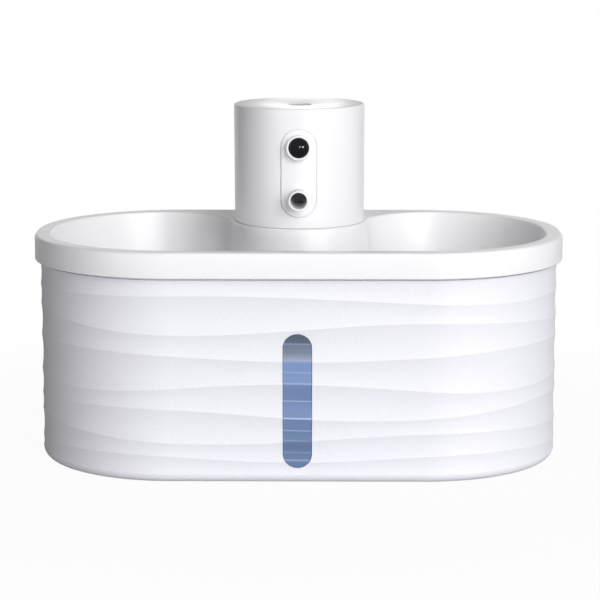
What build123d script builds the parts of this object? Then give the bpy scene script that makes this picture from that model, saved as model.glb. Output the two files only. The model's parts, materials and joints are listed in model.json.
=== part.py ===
from build123d import *
import math
import os

# Cordless pet drinking fountain, in millimetres.
# The origin is on the floor under the middle of the tank, +Z is up and the front faces -Y.

# Every cut runs past the face that it opens by this much
overrun = 2.0

# Tray: outline of the rim seen from above, its skirt and its flat ring
tray_length = 270.0
tray_width = 154.0
end_flat = 10.0
rim_height = 116.5
rim_skirt = 12.8
rim_plate = 2.6
rim_ring = 8.4
rim_edge = 1.8
skirt_wall = 1.8
tray_wall = 2.0

# Tray: the U-shaped trough with a basin at each end
basin_depth = 34.0
basin_slope = 8.0
basin_edge = 1.2
basin_floor_radius = 10.0
deck_margin = 1.7
deck_back = 4.2
flare_radius = 36.0

# Tray: the well in the trough's floor that takes the filter cartridge
well_radius = 16.0
well_depth = 22.0
well_wall = 1.8
drain_radius = 2.6
drain_count = 6
drain_ring_share = 0.58

# Tank: wall, floor and the wavy flutes round it
rim_overhang = 2.7
tank_wall = 2.0
tank_floor = 3.0
tank_edge = 4.5
tank_floor_radius = 2.0
relief_margin = 1.0
flute_depth = 1.0
ridge_swing = 3.0
station_count = 96
edge_angles = (30, 60, 90)
# For each ridge from the top: height, swing, waves round the tank, place of a crest
ridge_shares = (
    (0.806, 0.93, 2, -0.07),
    (0.683, 1.00, 3, 0.09),
    (0.560, 0.77, 3, 0.175),
    (0.417, 0.90, 3, -0.01),
    (0.305, 1.00, 3, -0.12),
    (0.197, 0.90, 3, 0.11),
    (0.108, 0.60, 4, 0.124),
)

# Feet under the tank
foot_radius = 8.0
foot_height = 1.5
foot_sink = 1.0
foot_edge = 0.4
foot_length_share = 0.66
foot_width_share = 0.58

# Level window in the front of the tank
window_width = 14.3
window_length = 67.0
window_height = 42.6
window_recess = 0.5
window_gap = 0.15
window_lip = 2.4
window_flange = 1.5
gasket_thickness = 0.8

# Tower on the deck
tower_top_radius = 34.4
tower_base_radius = 34.1
tower_height = 62.0
tower_gap = 0.6
tower_wall = 2.4
tower_top_wall = 2.5
tower_edge = 1.0
tower_land = 3.0
tower_dish = 0.8

# Plate on the tower's front
plate_width = 18.9
plate_length = 46.2
plate_height = 28.8
plate_sink = 1.0
plate_proud = 0.4
plate_gap = 0.2

# Motion sensor in the plate
sensor_height = 42.3
collar_radius = 6.5
collar_bore = 5.3
collar_reach = 3.2
collar_edge = 0.5
collar_flange_radius = 8.5
collar_flange = 1.2
lens_recess = 0.3
lens_thickness = 2.2
lens_edge = 0.7
lens_shoulder = 0.6
sensor_board_width = 16.0
sensor_board_length = 28.0
sensor_board_thickness = 1.2
sensor_boss_radius = 2.2
sensor_boss_spread = 5.5
sensor_boss_rise = 4.0
slip = 0.1

# Spout, its leg down through the tower's base and its seal
spout_height = 15.8
spout_radius = 5.25
spout_bore = 4.25
spout_reach = 9.4
spout_edge = 0.4
spout_leg_offset = 15.0
spout_leg_radius = 4.0
spout_leg_bore = 2.8
spout_leg_drop = 10.0
spout_seal_thickness = 1.8
hose_wall = 1.4

# Mode button in the tower's top, with its switch
button_radius = 6.2
button_gap = 0.25
button_sink = 0.3
button_flange = 1.2
button_flange_lip = 1.5
button_travel = 0.8
button_edge = 0.5
switch_width = 6.0
switch_height = 3.5
plunger_radius = 1.7
plunger_height = 1.0
plunger_gap = 0.1

# Main board hung under the tower's top
board_overlap = 0.75
board_thickness = 1.6
standoff_radius = 2.6
standoff_margin = 5.0
standoff_angles = (30, 150, 270)
board_screw_radius = 1.0
board_screw_head = 2.0
board_screw_head_height = 1.3
board_screw_length = 5.0

# Charge socket at the tower's back, with its swing-out cover
socket_width = 8.9
socket_height = 3.3
socket_length = 8.0
socket_wall = 0.35
socket_tongue = 0.7
socket_gap = 0.3
port_sink = 1.5
port_pad = 3.0
port_pad_margin = 1.5
cover_width = 15.4
cover_length = 8.6
cover_thickness = 1.3
cover_corner = 2.0
cover_gap = 0.5
cover_barrel = 1.1
barrel_clearance = 0.15
cover_plug_depth = 1.0
cover_plug_gap = 0.6
cover_tab = 1.0

# Battery pack and its cradle
battery_width = 40.0
battery_depth = 13.0
battery_height = 40.0
battery_corner = 2.5
battery_offset = 13.0
cradle_wall = 1.5
cradle_height = 16.0
cradle_gap = 0.2
cradle_clearance = 0.5
lead_radius = 0.9
lead_spread = 6.0

# Stem under the tower, with the base that closes the tower
base_thickness = 4.0
base_gap = 0.15
seal_radius = 0.8
seal_gap = 0.05
groove_depth = 1.65
stem_radius = 25.0
stem_wall = 2.0
stem_clearance = 0.4
shoulder_width = 1.6
shoulder_height = 2.0
screw_ring = 27.5
screw_angles = (0, 180, 240, 300)
boss_radius = 4.4
boss_height = 13.5
boss_rib = 4.0
screw_radius = 1.25
screw_length = 12.0
screw_head = 2.1
screw_head_height = 1.8
screw_head_sink = 0.4
screw_gap = 0.15

# Pump in the stem's foot
pump_floor_gap = 5.5
pump_cover_height = 12.0
pump_height = 30.0
pump_gap = 0.15
barb_height = 8.0
cable_radius = 1.8
cable_x = 14.0
cable_y = -6.0
chamber_radius = 12.0
chamber_floor = 4.5
volute_width = 6.0
intake_radius = 5.0
intake_slot = 3.0
intake_count = 12
spider_arm = 1.6
spider_hub = 2.4
spider_height = 1.6
spider_count = 3
pump_screw_ring = 19.0
pump_screw_angles = (90, 210, 330)
pump_screw_radius = 1.1
pump_screw_length = 16.0
pump_screw_head = 2.0
pump_screw_head_height = 1.4

# Impeller and its magnet on the pump's shaft
shaft_radius = 1.0
shaft_fit = 0.02
shaft_seat = 3.0
bore_fit = 0.05
impeller_radius = 10.5
impeller_plate = 1.5
impeller_gap = 0.5
impeller_hub = 3.1
blade_count = 6
blade_thickness = 1.2
blade_curve = 8.0
magnet_radius = 6.3
magnet_length = 18.0
magnet_gap = 0.5
magnet_fit = 0.05

# Filter cartridge in the tray's well
cup_gap = 0.4
cup_wall = 1.4
cup_floor = 1.6
cup_rise = 1.5
cup_hole_radius = 2.0
cup_hole_count = 6
foam_height = 9.0
pad_height = 8.0
foam_gap = 0.3
lid_height = 7.5
lid_plate = 1.5
lid_slot_width = 2.2
lid_slot_height = 3.6
lid_slot_count = 14
knob_radius = 3.0
knob_height = 4.0
knob_edge = 1.0

# Heights and places worked out from the sizes above
tray_corner = (tray_width - end_flat) / 2
tank_half_length = tray_length / 2 - rim_overhang
tank_half_width = tray_width / 2 - rim_overhang
tank_corner = tray_corner - rim_overhang
tank_top = rim_height - rim_plate
tank_height = tank_top - foot_height
relief_top = rim_height - rim_skirt - relief_margin
wall_inset = flute_depth + tank_wall
floor_top = foot_height + tank_floor
window_plane = wall_inset - tank_half_width

tower_base = rim_height
tower_top = tower_base + tower_height
tower_ceiling = tower_top - tower_top_wall
deck_radius = tower_base_radius + deck_margin
tower_y = tray_width / 2 - deck_back - deck_radius
tower_axis = Pos(0, tower_y, 0)
basin_floor = rim_height - basin_depth
well_floor = basin_floor - well_depth
well_y = (tower_y - deck_radius - tray_width / 2 + rim_ring) / 2

base_top = tower_base + base_thickness
plate_z = tower_base + plate_height
sensor_z = tower_base + sensor_height
spout_z = tower_base + spout_height
spout_leg_y = tower_y - spout_leg_offset
spout_leg_low = tower_base - spout_leg_drop
switch_top = tower_ceiling - button_flange - button_travel - plunger_gap
board_top = switch_top - plunger_height - switch_height
board_bottom = board_top - board_thickness
socket_z = board_bottom - socket_height / 2

pump_low = floor_top + pump_floor_gap
pump_base = pump_low + pump_cover_height
pump_top = pump_base + pump_height
chamber_low = pump_low + chamber_floor


def tower_radius(z):
    """Outer radius of the slightly tapered tower at a height."""
    share = (z - tower_base) / tower_height
    return tower_base_radius + (tower_top_radius - tower_base_radius) * share


def rod(radius, low, high, x=0, y=0):
    """Upright cylinder between two heights."""
    turned = Cylinder(radius, high - low, align=(Align.CENTER, Align.CENTER, Align.MIN))
    return Pos(x, y, low) * turned


def pipe(radius, bore, low, high, x=0, y=0):
    """Upright tube between two heights."""
    return rod(radius, low, high, x, y) - rod(bore, low - overrun, high + overrun, x, y)


def reach(radius, front, back, z, x=0):
    """Cylinder that runs from front to back at a height."""
    turned = Cylinder(radius, back - front, align=(Align.CENTER, Align.CENTER, Align.MIN))
    return Pos(x, front, z) * Rot(-90, 0, 0) * turned


def block(width, depth, low, high, x=0, y=0):
    """Upright box between two heights, centred on x and y."""
    solid = Box(width, depth, high - low, align=(Align.CENTER, Align.CENTER, Align.MIN))
    return Pos(x, y, low) * solid


def capsule(width, length, front, back, z):
    """Upright capsule outline carried from front to back at a height."""
    plane = Plane(origin=(0, front, z), x_dir=(1, 0, 0), z_dir=(0, 1, 0))
    return extrude(plane * Rot(0, 0, 90) * SlotOverall(length, width), amount=back - front)


def round_places(ring, angles):
    """Places on a circle about the tower's axis, at angles from +X."""
    for angle in angles:
        turn = math.radians(angle)
        yield ring * math.cos(turn), tower_y + ring * math.sin(turn)


def even_angles(count):
    """Angles that share a full turn evenly."""
    return [360 * index / count for index in range(count)]


# Tank


def crest_stations():
    """Points evenly spaced round the tank from the middle of its front, each with its outward direction."""
    flat_x = tank_half_length - tank_corner
    flat_y = tank_half_width - tank_corner
    quarter = math.pi / 2 * tank_corner
    runs = (flat_x, quarter, 2 * flat_y, quarter, 2 * flat_x, quarter, 2 * flat_y, quarter, flat_x)
    stations = []
    for index in range(station_count):
        share = index / station_count
        left = share * sum(runs)
        point = Vector(0, -tank_half_width)
        heading = 0.0
        for number, run in enumerate(runs):
            step = min(left, run)
            left -= step
            if number % 2:
                outward = Vector(math.sin(heading), -math.cos(heading))
                heading += step / tank_corner
                turned = Vector(math.sin(heading), -math.cos(heading))
                point += tank_corner * (turned - outward)
            else:
                point += step * Vector(math.cos(heading), math.sin(heading))
        stations.append((share, point, Vector(math.sin(heading), -math.cos(heading))))
    return stations


def ridge_line(ridge):
    """Height of one wavy ridge at a share of the way round the tank."""
    height_share, swing_share, waves, crest_share = ridge
    middle = foot_height + tank_height * height_share
    swing = ridge_swing * swing_share
    return lambda share: middle + swing * math.cos(2 * math.pi * waves * (share - crest_share))


def level_line(height):
    """A line that stays at one height."""
    return lambda share: height


def wall_ring(stations, height_at, inset_at):
    """Closed curve round the tank, with its height and inset given at each share of the way round."""
    points = []
    for share, point, outward in stations:
        place = point - inset_at(share) * outward
        points.append((place.X, place.Y, height_at(share)))
    return Wire([Edge.make_spline(points, periodic=True)])


def flute_rings(stations, upper, lower):
    """The hollow half way between two ridges, deeper where they stand further apart, and the lower ridge."""
    pitch = tank_height * (ridge_shares[0][0] - ridge_shares[-1][0]) / (len(ridge_shares) - 1)
    middle = wall_ring(
        stations,
        lambda share: (upper(share) + lower(share)) / 2,
        lambda share: flute_depth * (upper(share) - lower(share)) / pitch,
    )
    return [middle, wall_ring(stations, lower, level_line(0))]


def make_tank_block():
    """Solid inside the tank's outer wall: ridges and hollows ruled together, down to a rounded foot."""
    stations = crest_stations()
    edge_top = foot_height + tank_edge
    lines = [level_line(relief_top)] + [ridge_line(ridge) for ridge in ridge_shares] + [level_line(edge_top)]
    rings = [wall_ring(stations, level_line(height), level_line(0)) for height in (tank_top, relief_top)]
    for upper, lower in zip(lines, lines[1:]):
        rings += flute_rings(stations, upper, lower)
    for angle in edge_angles:
        turn = math.radians(angle)
        height = foot_height + tank_edge * (1 - math.sin(turn))
        rings.append(wall_ring(stations, level_line(height), level_line(tank_edge * (1 - math.cos(turn)))))
    return Solid.make_loft(rings, ruled=True)


def make_tank_shell(tank_block):
    """Tank wall and floor, open at the top, with the window's slot and recesses for the feet."""
    cavity_plan = RectangleRounded(
        2 * (tank_half_length - wall_inset), 2 * (tank_half_width - wall_inset), tank_corner - wall_inset
    )
    cavity = extrude(Pos(0, 0, floor_top) * cavity_plan, amount=tank_top + overrun - floor_top)
    cavity = fillet(cavity.edges().group_by(Axis.Z)[0], tank_floor_radius)
    slot = capsule(
        window_width, window_length, -tank_half_width - overrun, window_plane + overrun, window_height
    )
    shell = tank_block - cavity - slot
    for x, y in foot_places():
        shell -= rod(foot_radius + slip, foot_height - overrun, foot_height + foot_sink, x, y)
    return shell


def foot_places():
    """The four corners that carry a foot."""
    x = tank_half_length * foot_length_share
    y = tank_half_width * foot_width_share
    return [(x, y), (-x, y), (-x, -y), (x, -y)]


def make_rubber_feet():
    """Four round pads that stand out below the tank."""
    feet = []
    for x, y in foot_places():
        pad = rod(foot_radius, 0, foot_height + foot_sink, x, y)
        feet.append(fillet(pad.edges().group_by(Axis.Z)[0], foot_edge))
    return Compound(feet)


def make_level_window(tank_block):
    """Window that fills the slot a little below the flutes, with a flange inside the wall."""
    flange_front = window_plane + gasket_thickness
    front = -tank_half_width - overrun
    plug = capsule(
        window_width - 2 * window_gap, window_length - 2 * window_gap, front, flange_front, window_height
    )
    flange = capsule(
        window_width + 2 * window_lip,
        window_length + 2 * window_lip,
        flange_front,
        flange_front + window_flange,
        window_height,
    )
    return (plug & (Pos(0, window_recess, 0) * tank_block)) + flange


def make_window_gasket():
    """Flat rubber ring between the wall and the window's flange."""
    ends = (window_plane, window_plane + gasket_thickness)
    outer = capsule(window_width + 2 * window_lip, window_length + 2 * window_lip, *ends, window_height)
    inner = capsule(
        window_width + 2 * window_gap, window_length + 2 * window_gap, ends[0] - overrun, ends[1] + overrun,
        window_height,
    )
    return outer - inner


# Tray


def rim_outline(inset):
    """Rounded outline of the rim, drawn in all round."""
    return RectangleRounded(tray_length - 2 * inset, tray_width - 2 * inset, tray_corner - inset)


def flare_centre():
    """Middle of the arc that touches both the pedestal and the rounded inner corner of the rim."""
    corner_x = tray_length / 2 - tray_corner
    corner_y = tray_width / 2 - tray_corner
    near = tray_corner - rim_ring - flare_radius
    far = deck_radius + flare_radius
    apart = math.hypot(corner_x, corner_y - tower_y)
    along = (far**2 - near**2 + apart**2) / (2 * apart)
    aside = math.sqrt(far**2 - along**2)
    towards = Vector(corner_x, corner_y - tower_y).normalized()
    return Vector(0, tower_y) + along * towards + aside * Vector(-towards.Y, towards.X)


def basin_outline(grow):
    """Outline of the trough: the rim's inner edge, flared arcs at the back and an arc round the pedestal."""
    half_x = tray_length / 2 - rim_ring + grow
    half_y = tray_width / 2 - rim_ring + grow
    corner = tray_corner - rim_ring + grow
    corner_x = half_x - corner
    corner_y = half_y - corner
    flare = flare_centre()
    corner_turn = math.degrees(math.atan2(flare.Y - corner_y, flare.X - corner_x))
    deck_turn = math.degrees(math.atan2(flare.Y - tower_y, flare.X))
    half = (
        Line((0, -half_y), (corner_x, -half_y))
        + CenterArc((corner_x, -corner_y), corner, -90, 90)
        + Line((half_x, -corner_y), (half_x, corner_y))
        + CenterArc((corner_x, corner_y), corner, 0, corner_turn)
        + CenterArc((flare.X, flare.Y), flare_radius + grow, corner_turn, 180 + deck_turn - corner_turn)
        + CenterArc((0, tower_y), deck_radius - grow, -90, 90 + deck_turn)
    )
    return make_face(half + mirror(half, about=Plane.YZ))


def basin_solid(grow):
    """Space of the trough with sloping walls and a rounded floor, grown all round."""
    top = Pos(0, 0, rim_height) * basin_outline(grow)
    solid = extrude(top, amount=basin_depth + grow, dir=(0, 0, -1), taper=basin_slope)
    return fillet(solid.edges().group_by(Axis.Z)[0], basin_floor_radius + grow)


def make_drinking_tray():
    """Rim with its skirt, the trough with two basins, the pedestal for the tower and the filter well."""
    skirt_low = rim_height - rim_skirt
    rim = extrude(Pos(0, 0, skirt_low) * rim_outline(0), amount=rim_skirt)
    rim = fillet(rim.edges().group_by(Axis.Z)[-1], rim_edge)
    rim -= extrude(Pos(0, 0, skirt_low) * rim_outline(skirt_wall), amount=rim_skirt - rim_plate)
    well = rod(well_radius + well_wall, well_floor - well_wall, basin_floor, 0, well_y)
    tray = rim + basin_solid(tray_wall) + well
    tray -= basin_solid(0)
    brim = tray.faces().filter_by(Axis.Z).sort_by(Axis.Z)[-1]
    tray = fillet(brim.inner_wires()[0].edges(), basin_edge)
    tray -= rod(well_radius, well_floor, rim_height, 0, well_y)
    for angle in even_angles(drain_count):
        turn = math.radians(angle)
        ring = well_radius * drain_ring_share
        place = (ring * math.cos(turn), well_y + ring * math.sin(turn))
        tray -= rod(drain_radius, well_floor - well_wall - overrun, well_floor + overrun, *place)
    return tray - rod(
        stem_radius + stem_clearance, rim_height - rim_plate - overrun, rim_height + overrun, 0, tower_y
    )


# Filter cartridge


def cup_radius():
    """Outer radius of the cartridge, a running gap inside the well."""
    return well_radius - cup_gap


def make_filter_cup():
    """Open cup that stands on the well's floor, with holes in its own floor."""
    top = basin_floor + cup_rise
    cup = rod(cup_radius(), well_floor, top, 0, well_y)
    cup -= rod(cup_radius() - cup_wall, well_floor + cup_floor, top + overrun, 0, well_y)
    for angle in even_angles(cup_hole_count):
        turn = math.radians(angle)
        ring = well_radius * drain_ring_share
        place = (ring * math.cos(turn), well_y + ring * math.sin(turn))
        cup -= rod(cup_hole_radius, well_floor - overrun, well_floor + cup_floor + overrun, *place)
    return cup


def make_filter_foam():
    """Foam disc on the cup's floor."""
    low = well_floor + cup_floor
    return rod(cup_radius() - cup_wall - foam_gap, low, low + foam_height, 0, well_y)


def make_carbon_pad():
    """Carbon pad on the foam."""
    low = well_floor + cup_floor + foam_height
    return rod(cup_radius() - cup_wall - foam_gap, low, low + pad_height, 0, well_y)


def make_strainer_lid():
    """Slotted lid on the cup, which keeps a shallow pool in the trough, with a knob to lift it by."""
    low = basin_floor + cup_rise
    top = low + lid_height
    lid = rod(cup_radius(), low, top, 0, well_y)
    lid -= rod(cup_radius() - cup_wall, low - overrun, top - lid_plate, 0, well_y)
    slot_low = top - lid_plate - lid_slot_height
    cutter = block(lid_slot_width, 2 * (cup_radius() + overrun), slot_low, slot_low + lid_slot_height)
    for angle in even_angles(lid_slot_count)[: lid_slot_count // 2]:
        lid -= Pos(0, well_y, 0) * Rot(0, 0, angle) * cutter
    knob = rod(knob_radius, top, top + knob_height, 0, well_y)
    return lid + fillet(knob.edges().group_by(Axis.Z)[-1], knob_edge)


# Tower


def tower_block(grow):
    """Solid inside the tower's tapered side, grown outwards."""
    profile = make_face(
        Polyline(
            (0, tower_base - overrun),
            (tower_radius(tower_base - overrun) + grow, tower_base - overrun),
            (tower_radius(tower_top + overrun) + grow, tower_top + overrun),
            (0, tower_top + overrun),
            close=True,
        )
    )
    return tower_axis * revolve(Plane.XZ * profile, Axis.Z)


def make_tower_skin():
    """Side and dished top of the tower in one turned wall, open at the bottom and at the button."""
    low = tower_base + tower_gap
    hole = button_radius + button_gap
    profile = make_face(
        Polyline(
            (tower_radius(low), low),
            (tower_top_radius, tower_top),
            (tower_top_radius - tower_land, tower_top),
            (hole, tower_top - tower_dish),
            (hole, tower_ceiling),
            (tower_radius(tower_ceiling) - tower_wall, tower_ceiling),
            (tower_radius(low) - tower_wall, low),
            close=True,
        )
    )
    skin = revolve(Plane.XZ * profile, Axis.Z)
    rim = skin.edges().filter_by(GeomType.CIRCLE).group_by(Axis.Z)[-1].sort_by(SortBy.RADIUS)[-1]
    return tower_axis * fillet(rim, tower_edge)


def port_plane():
    """Flat at the bottom of the recess round the charge socket, in Y."""
    return tower_y + tower_radius(socket_z) - port_sink


def inner_front(z):
    """The inside of the tower's front wall at a height, in Y."""
    return tower_y - tower_radius(z) + tower_wall


def flange_seat(radius, z):
    """Where a flat round flange meets the curved inside of the front wall, in Y."""
    inner = tower_radius(z) - tower_wall
    return tower_y - math.sqrt(inner**2 - radius**2) + slip


def sensor_board_front():
    """Front face of the sensor's board, against the collar's flange and clear of the wall below it, in Y."""
    behind_flange = flange_seat(collar_flange_radius, sensor_z) + collar_flange
    board_low = board_bottom - sensor_board_length
    return max(behind_flange, flange_seat(sensor_board_width / 2, board_low))


def collar_front():
    """Front end of the sensor's collar, in Y."""
    return tower_y - tower_radius(sensor_z) - plate_proud - collar_reach


def lens_back():
    """Back of the lens, on the collar's shoulder, in Y."""
    return collar_front() + lens_recess + lens_thickness


def make_tower_shell():
    """Tower wall with bosses inside, and its openings for the plate, sensor, spout, button and socket."""
    shell = make_tower_skin()
    inside = tower_block(-tower_wall / 2)
    boss_top = base_top + boss_height
    rib_end = tower_radius(boss_top)
    rib = block(rib_end - screw_ring, boss_rib, base_top, boss_top, (rib_end + screw_ring) / 2)
    for angle, (x, y) in zip(screw_angles, round_places(screw_ring, screw_angles)):
        boss = rod(boss_radius, base_top, boss_top, x, y) + tower_axis * Rot(0, 0, angle) * rib
        shell += boss & inside
    for x, y in round_places(standoff_ring(), standoff_angles):
        shell += rod(standoff_radius, board_top, tower_ceiling, x, y)
    pad_half = cover_width / 2 + port_pad_margin
    pad = block(
        2 * pad_half, 2 * port_pad, socket_z - cover_length / 2 - port_pad_margin, board_bottom,
        0, port_plane(),
    )
    shell += pad & inside
    boss_z = sensor_boss_z()
    for x in (-sensor_boss_spread, sensor_boss_spread):
        shell += reach(sensor_boss_radius, inner_front(boss_z) - slip, sensor_board_front(), boss_z, x)
    shell -= plate_pocket()
    shell -= reach(collar_radius + slip, collar_front(), sensor_board_front(), sensor_z)
    shell -= reach(spout_radius + slip, collar_front(), spout_leg_y, spout_z)
    shell -= port_recess()
    for x, y in round_places(screw_ring, screw_angles):
        shell -= rod(screw_radius + slip, base_top - overrun, screw_top() + slip, x, y)
    for x, y in round_places(standoff_ring(), standoff_angles):
        shell -= rod(board_screw_radius + slip, board_top - overrun, board_screw_top() + slip, x, y)
    return shell


def sensor_boss_z():
    """Height of the bosses near the foot of the sensor's board."""
    return board_bottom - sensor_board_length + sensor_boss_rise


def plate_pocket():
    """Shallow capsule recess that the plate sits in."""
    opening = capsule(plate_width, plate_length, -tower_y, tower_y, plate_z)
    return opening & (tower_block(overrun) - tower_block(-plate_sink))


def make_sensor_plate():
    """Curved capsule plate that stands a little proud of the tower, with holes for sensor and spout."""
    outline = capsule(plate_width - 2 * plate_gap, plate_length - 2 * plate_gap, -tower_y, tower_y, plate_z)
    plate = outline & (tower_block(plate_proud) - tower_block(-plate_sink))
    plate -= reach(collar_radius + slip, -tower_y, tower_y, sensor_z)
    return plate - reach(spout_radius + slip, -tower_y, tower_y, spout_z)


def make_sensor_collar():
    """Short tube round the lens, with a flange behind the tower's wall."""
    back = sensor_board_front()
    collar = reach(collar_radius, collar_front(), back, sensor_z)
    collar = fillet(collar.edges().group_by(Axis.Y)[0], collar_edge)
    collar += reach(collar_flange_radius, flange_seat(collar_flange_radius, sensor_z), back, sensor_z)
    collar -= reach(collar_bore, collar_front() - overrun, lens_back(), sensor_z)
    return collar - reach(collar_bore - lens_shoulder, collar_front(), back + overrun, sensor_z)


def make_sensor_lens():
    """Dark lens on the collar's shoulder, with a rounded front edge."""
    front = lens_back() - lens_thickness
    lens = reach(collar_bore - slip, front, lens_back(), sensor_z)
    return fillet(lens.edges().group_by(Axis.Y)[0], lens_edge)


def make_sensor_can():
    """Round sensor between the lens and its board."""
    return reach(collar_bore - lens_shoulder - slip, lens_back(), sensor_board_front(), sensor_z)


def make_sensor_board():
    """Upright board behind the plate, which hangs from the main board."""
    front = sensor_board_front()
    low = board_bottom - sensor_board_length
    return block(
        sensor_board_width, sensor_board_thickness, low, board_bottom, 0, front + sensor_board_thickness / 2
    )


def make_water_spout():
    """Tube through the front, with an elbow and a leg that goes down through the tower's base."""
    front = tower_y - tower_radius(spout_z) - plate_proud - spout_reach
    shoulder = base_top + spout_seal_thickness
    spout = reach(spout_radius, front, spout_leg_y, spout_z)
    spout = fillet(spout.edges().group_by(Axis.Y)[0], spout_edge)
    spout += rod(spout_radius, shoulder, spout_z, 0, spout_leg_y)
    spout += Pos(0, spout_leg_y, spout_z) * Sphere(spout_radius)
    spout += rod(spout_leg_radius, spout_leg_low, shoulder, 0, spout_leg_y)
    seat = flange_seat(spout_radius + spout_seal_thickness, spout_z)
    spout += reach(spout_radius + spout_seal_thickness, seat, seat + spout_seal_thickness, spout_z)
    spout -= reach(spout_bore, front - overrun, spout_leg_y, spout_z)
    spout -= Pos(0, spout_leg_y, spout_z) * Sphere(spout_bore)
    spout -= rod(spout_bore, shoulder + hose_wall, spout_z, 0, spout_leg_y)
    return spout - rod(spout_leg_bore, spout_leg_low - overrun, spout_z, 0, spout_leg_y)


def make_spout_seal():
    """Rubber ring under the spout's shoulder."""
    top = base_top + spout_seal_thickness
    return pipe(spout_radius, spout_leg_radius + slip, base_top, top, 0, spout_leg_y)


# Mode button, main board and charge socket


def make_mode_button():
    """Round key in the tower's top, kept in by a flange under it."""
    top = tower_top - tower_dish - button_sink
    flange_low = tower_ceiling - button_flange
    key = rod(button_radius, flange_low, top)
    key = fillet(key.edges().group_by(Axis.Z)[-1], button_edge)
    return tower_axis * (key + rod(button_radius + button_flange_lip, flange_low, tower_ceiling))


def make_button_switch():
    """Switch on the main board, with its plunger just under the button."""
    body = block(switch_width, switch_width, board_top, board_top + switch_height)
    return tower_axis * (body + rod(plunger_radius, board_top + switch_height, switch_top))


def board_radius():
    """Radius of the main board, just past the back of the sensor's board."""
    return tower_y - sensor_board_front() - sensor_board_thickness + board_overlap


def standoff_ring():
    """Radius of the ring of standoffs, inside the main board's edge."""
    return board_radius() - standoff_margin


def make_main_board():
    """Round board screwed under the standoffs."""
    board = rod(board_radius(), board_bottom, board_top, 0, tower_y)
    for x, y in round_places(standoff_ring(), standoff_angles):
        board -= rod(board_screw_radius + screw_gap, board_bottom - overrun, board_top + overrun, x, y)
    return board


def board_screw_top():
    """Upper end of the screws in the standoffs."""
    return board_bottom + board_screw_length


def make_board_screws():
    """Screws through the main board into the standoffs."""
    screws = []
    for x, y in round_places(standoff_ring(), standoff_angles):
        head = rod(board_screw_head, board_bottom - board_screw_head_height, board_bottom, x, y)
        screws.append(head + rod(board_screw_radius, board_bottom, board_screw_top(), x, y))
    return Compound(screws)


def flat_capsule(width, height, front, back, z):
    """Lying capsule outline carried from front to back at a height."""
    plane = Plane(origin=(0, front, z), x_dir=(1, 0, 0), z_dir=(0, 1, 0))
    return extrude(plane * SlotOverall(width, height), amount=back - front)


def make_charge_socket():
    """Metal socket under the main board, with its tongue."""
    mouth = port_plane() - cover_plug_depth - slip
    back = mouth - socket_length
    shell = flat_capsule(socket_width, socket_height, back, mouth, socket_z)
    inner = (socket_width - 2 * socket_wall, socket_height - 2 * socket_wall)
    shell -= flat_capsule(*inner, back + socket_wall, mouth + overrun, socket_z)
    tongue = block(
        inner[0] - inner[1], socket_length - socket_wall, socket_z - socket_tongue / 2,
        socket_z + socket_tongue / 2, 0, (back + mouth) / 2,
    )
    return shell + tongue


def port_recess():
    """Recess, hinge groove and opening round the charge socket."""
    plane = port_plane()
    width = cover_width + 2 * cover_gap
    length = cover_length + 2 * cover_gap
    recess = block(
        width, 2 * overrun, socket_z - length / 2, socket_z + length / 2, 0, plane + overrun
    )
    groove = rod(
        cover_barrel + barrel_clearance, socket_z - length / 2, socket_z + length / 2, *barrel_place()
    )
    opening = flat_capsule(
        socket_width + 2 * socket_gap, socket_height + 2 * socket_gap, plane - 2 * port_pad, plane + overrun,
        socket_z,
    )
    return recess + groove + opening


def barrel_place():
    """The cover's hinge axis seen from above."""
    return cover_barrel - cover_width / 2, port_plane() + cover_thickness / 2


def make_port_cover():
    """Rubber flap over the socket, with a hinge barrel, a plug and a finger tab."""
    plane = port_plane()
    x, y = barrel_place()
    outline = Plane(origin=(0, plane, socket_z), x_dir=(1, 0, 0), z_dir=(0, 1, 0))
    face = outline * RectangleRounded(cover_width, cover_length, cover_corner)
    flap = extrude(face, amount=cover_thickness)
    flap -= block(2 * cover_barrel, cover_length, socket_z - cover_length, socket_z + cover_length, x, y)
    barrel_half = cover_length / 2 - cover_corner
    flap += block(
        2 * cover_barrel, cover_thickness, socket_z - barrel_half, socket_z + barrel_half, x + cover_barrel, y
    )
    flap += rod(cover_barrel, socket_z - barrel_half, socket_z + barrel_half, x, y)
    plug_size = (
        socket_width + 2 * socket_gap - 2 * cover_plug_gap,
        socket_height + 2 * socket_gap - 2 * cover_plug_gap,
    )
    flap += flat_capsule(*plug_size, plane - cover_plug_depth, plane, socket_z)
    tab_x = cover_width / 2 - cover_corner
    return flap + rod(
        cover_tab, socket_z - barrel_half, socket_z + barrel_half, tab_x, plane + cover_thickness
    )


# Battery


def make_battery_cradle():
    """Open box on the tower's base that holds the battery's foot."""
    width = battery_width + 2 * cradle_gap
    depth = battery_depth + 2 * cradle_gap
    y = tower_y + battery_offset
    cradle = block(width + 2 * cradle_wall, depth + 2 * cradle_wall, base_top, base_top + cradle_height, 0, y)
    cradle &= tower_block(-tower_wall - cradle_clearance)
    return cradle - block(width, depth, base_top + cradle_wall, base_top + cradle_height + overrun, 0, y)


def make_battery_pack():
    """Flat battery pack with rounded upright edges."""
    low = base_top + cradle_wall
    pack = block(battery_width, battery_depth, low, low + battery_height, 0, tower_y + battery_offset)
    return fillet(pack.edges().filter_by(Axis.Z), battery_corner)


def make_battery_leads():
    """Two short leads from the pack up to the main board."""
    low = base_top + cradle_wall + battery_height
    y = tower_y + battery_offset
    return Compound([rod(lead_radius, low, board_bottom, x, y) for x in (-lead_spread, lead_spread)])


# Stem, base and pump


def base_radius():
    """Radius of the base that closes the tower."""
    return tower_radius(tower_base) - tower_wall - base_gap


def screw_top():
    """Upper end of the screws that hold the base."""
    return tower_base + screw_head_sink + screw_head_height + screw_length


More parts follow.
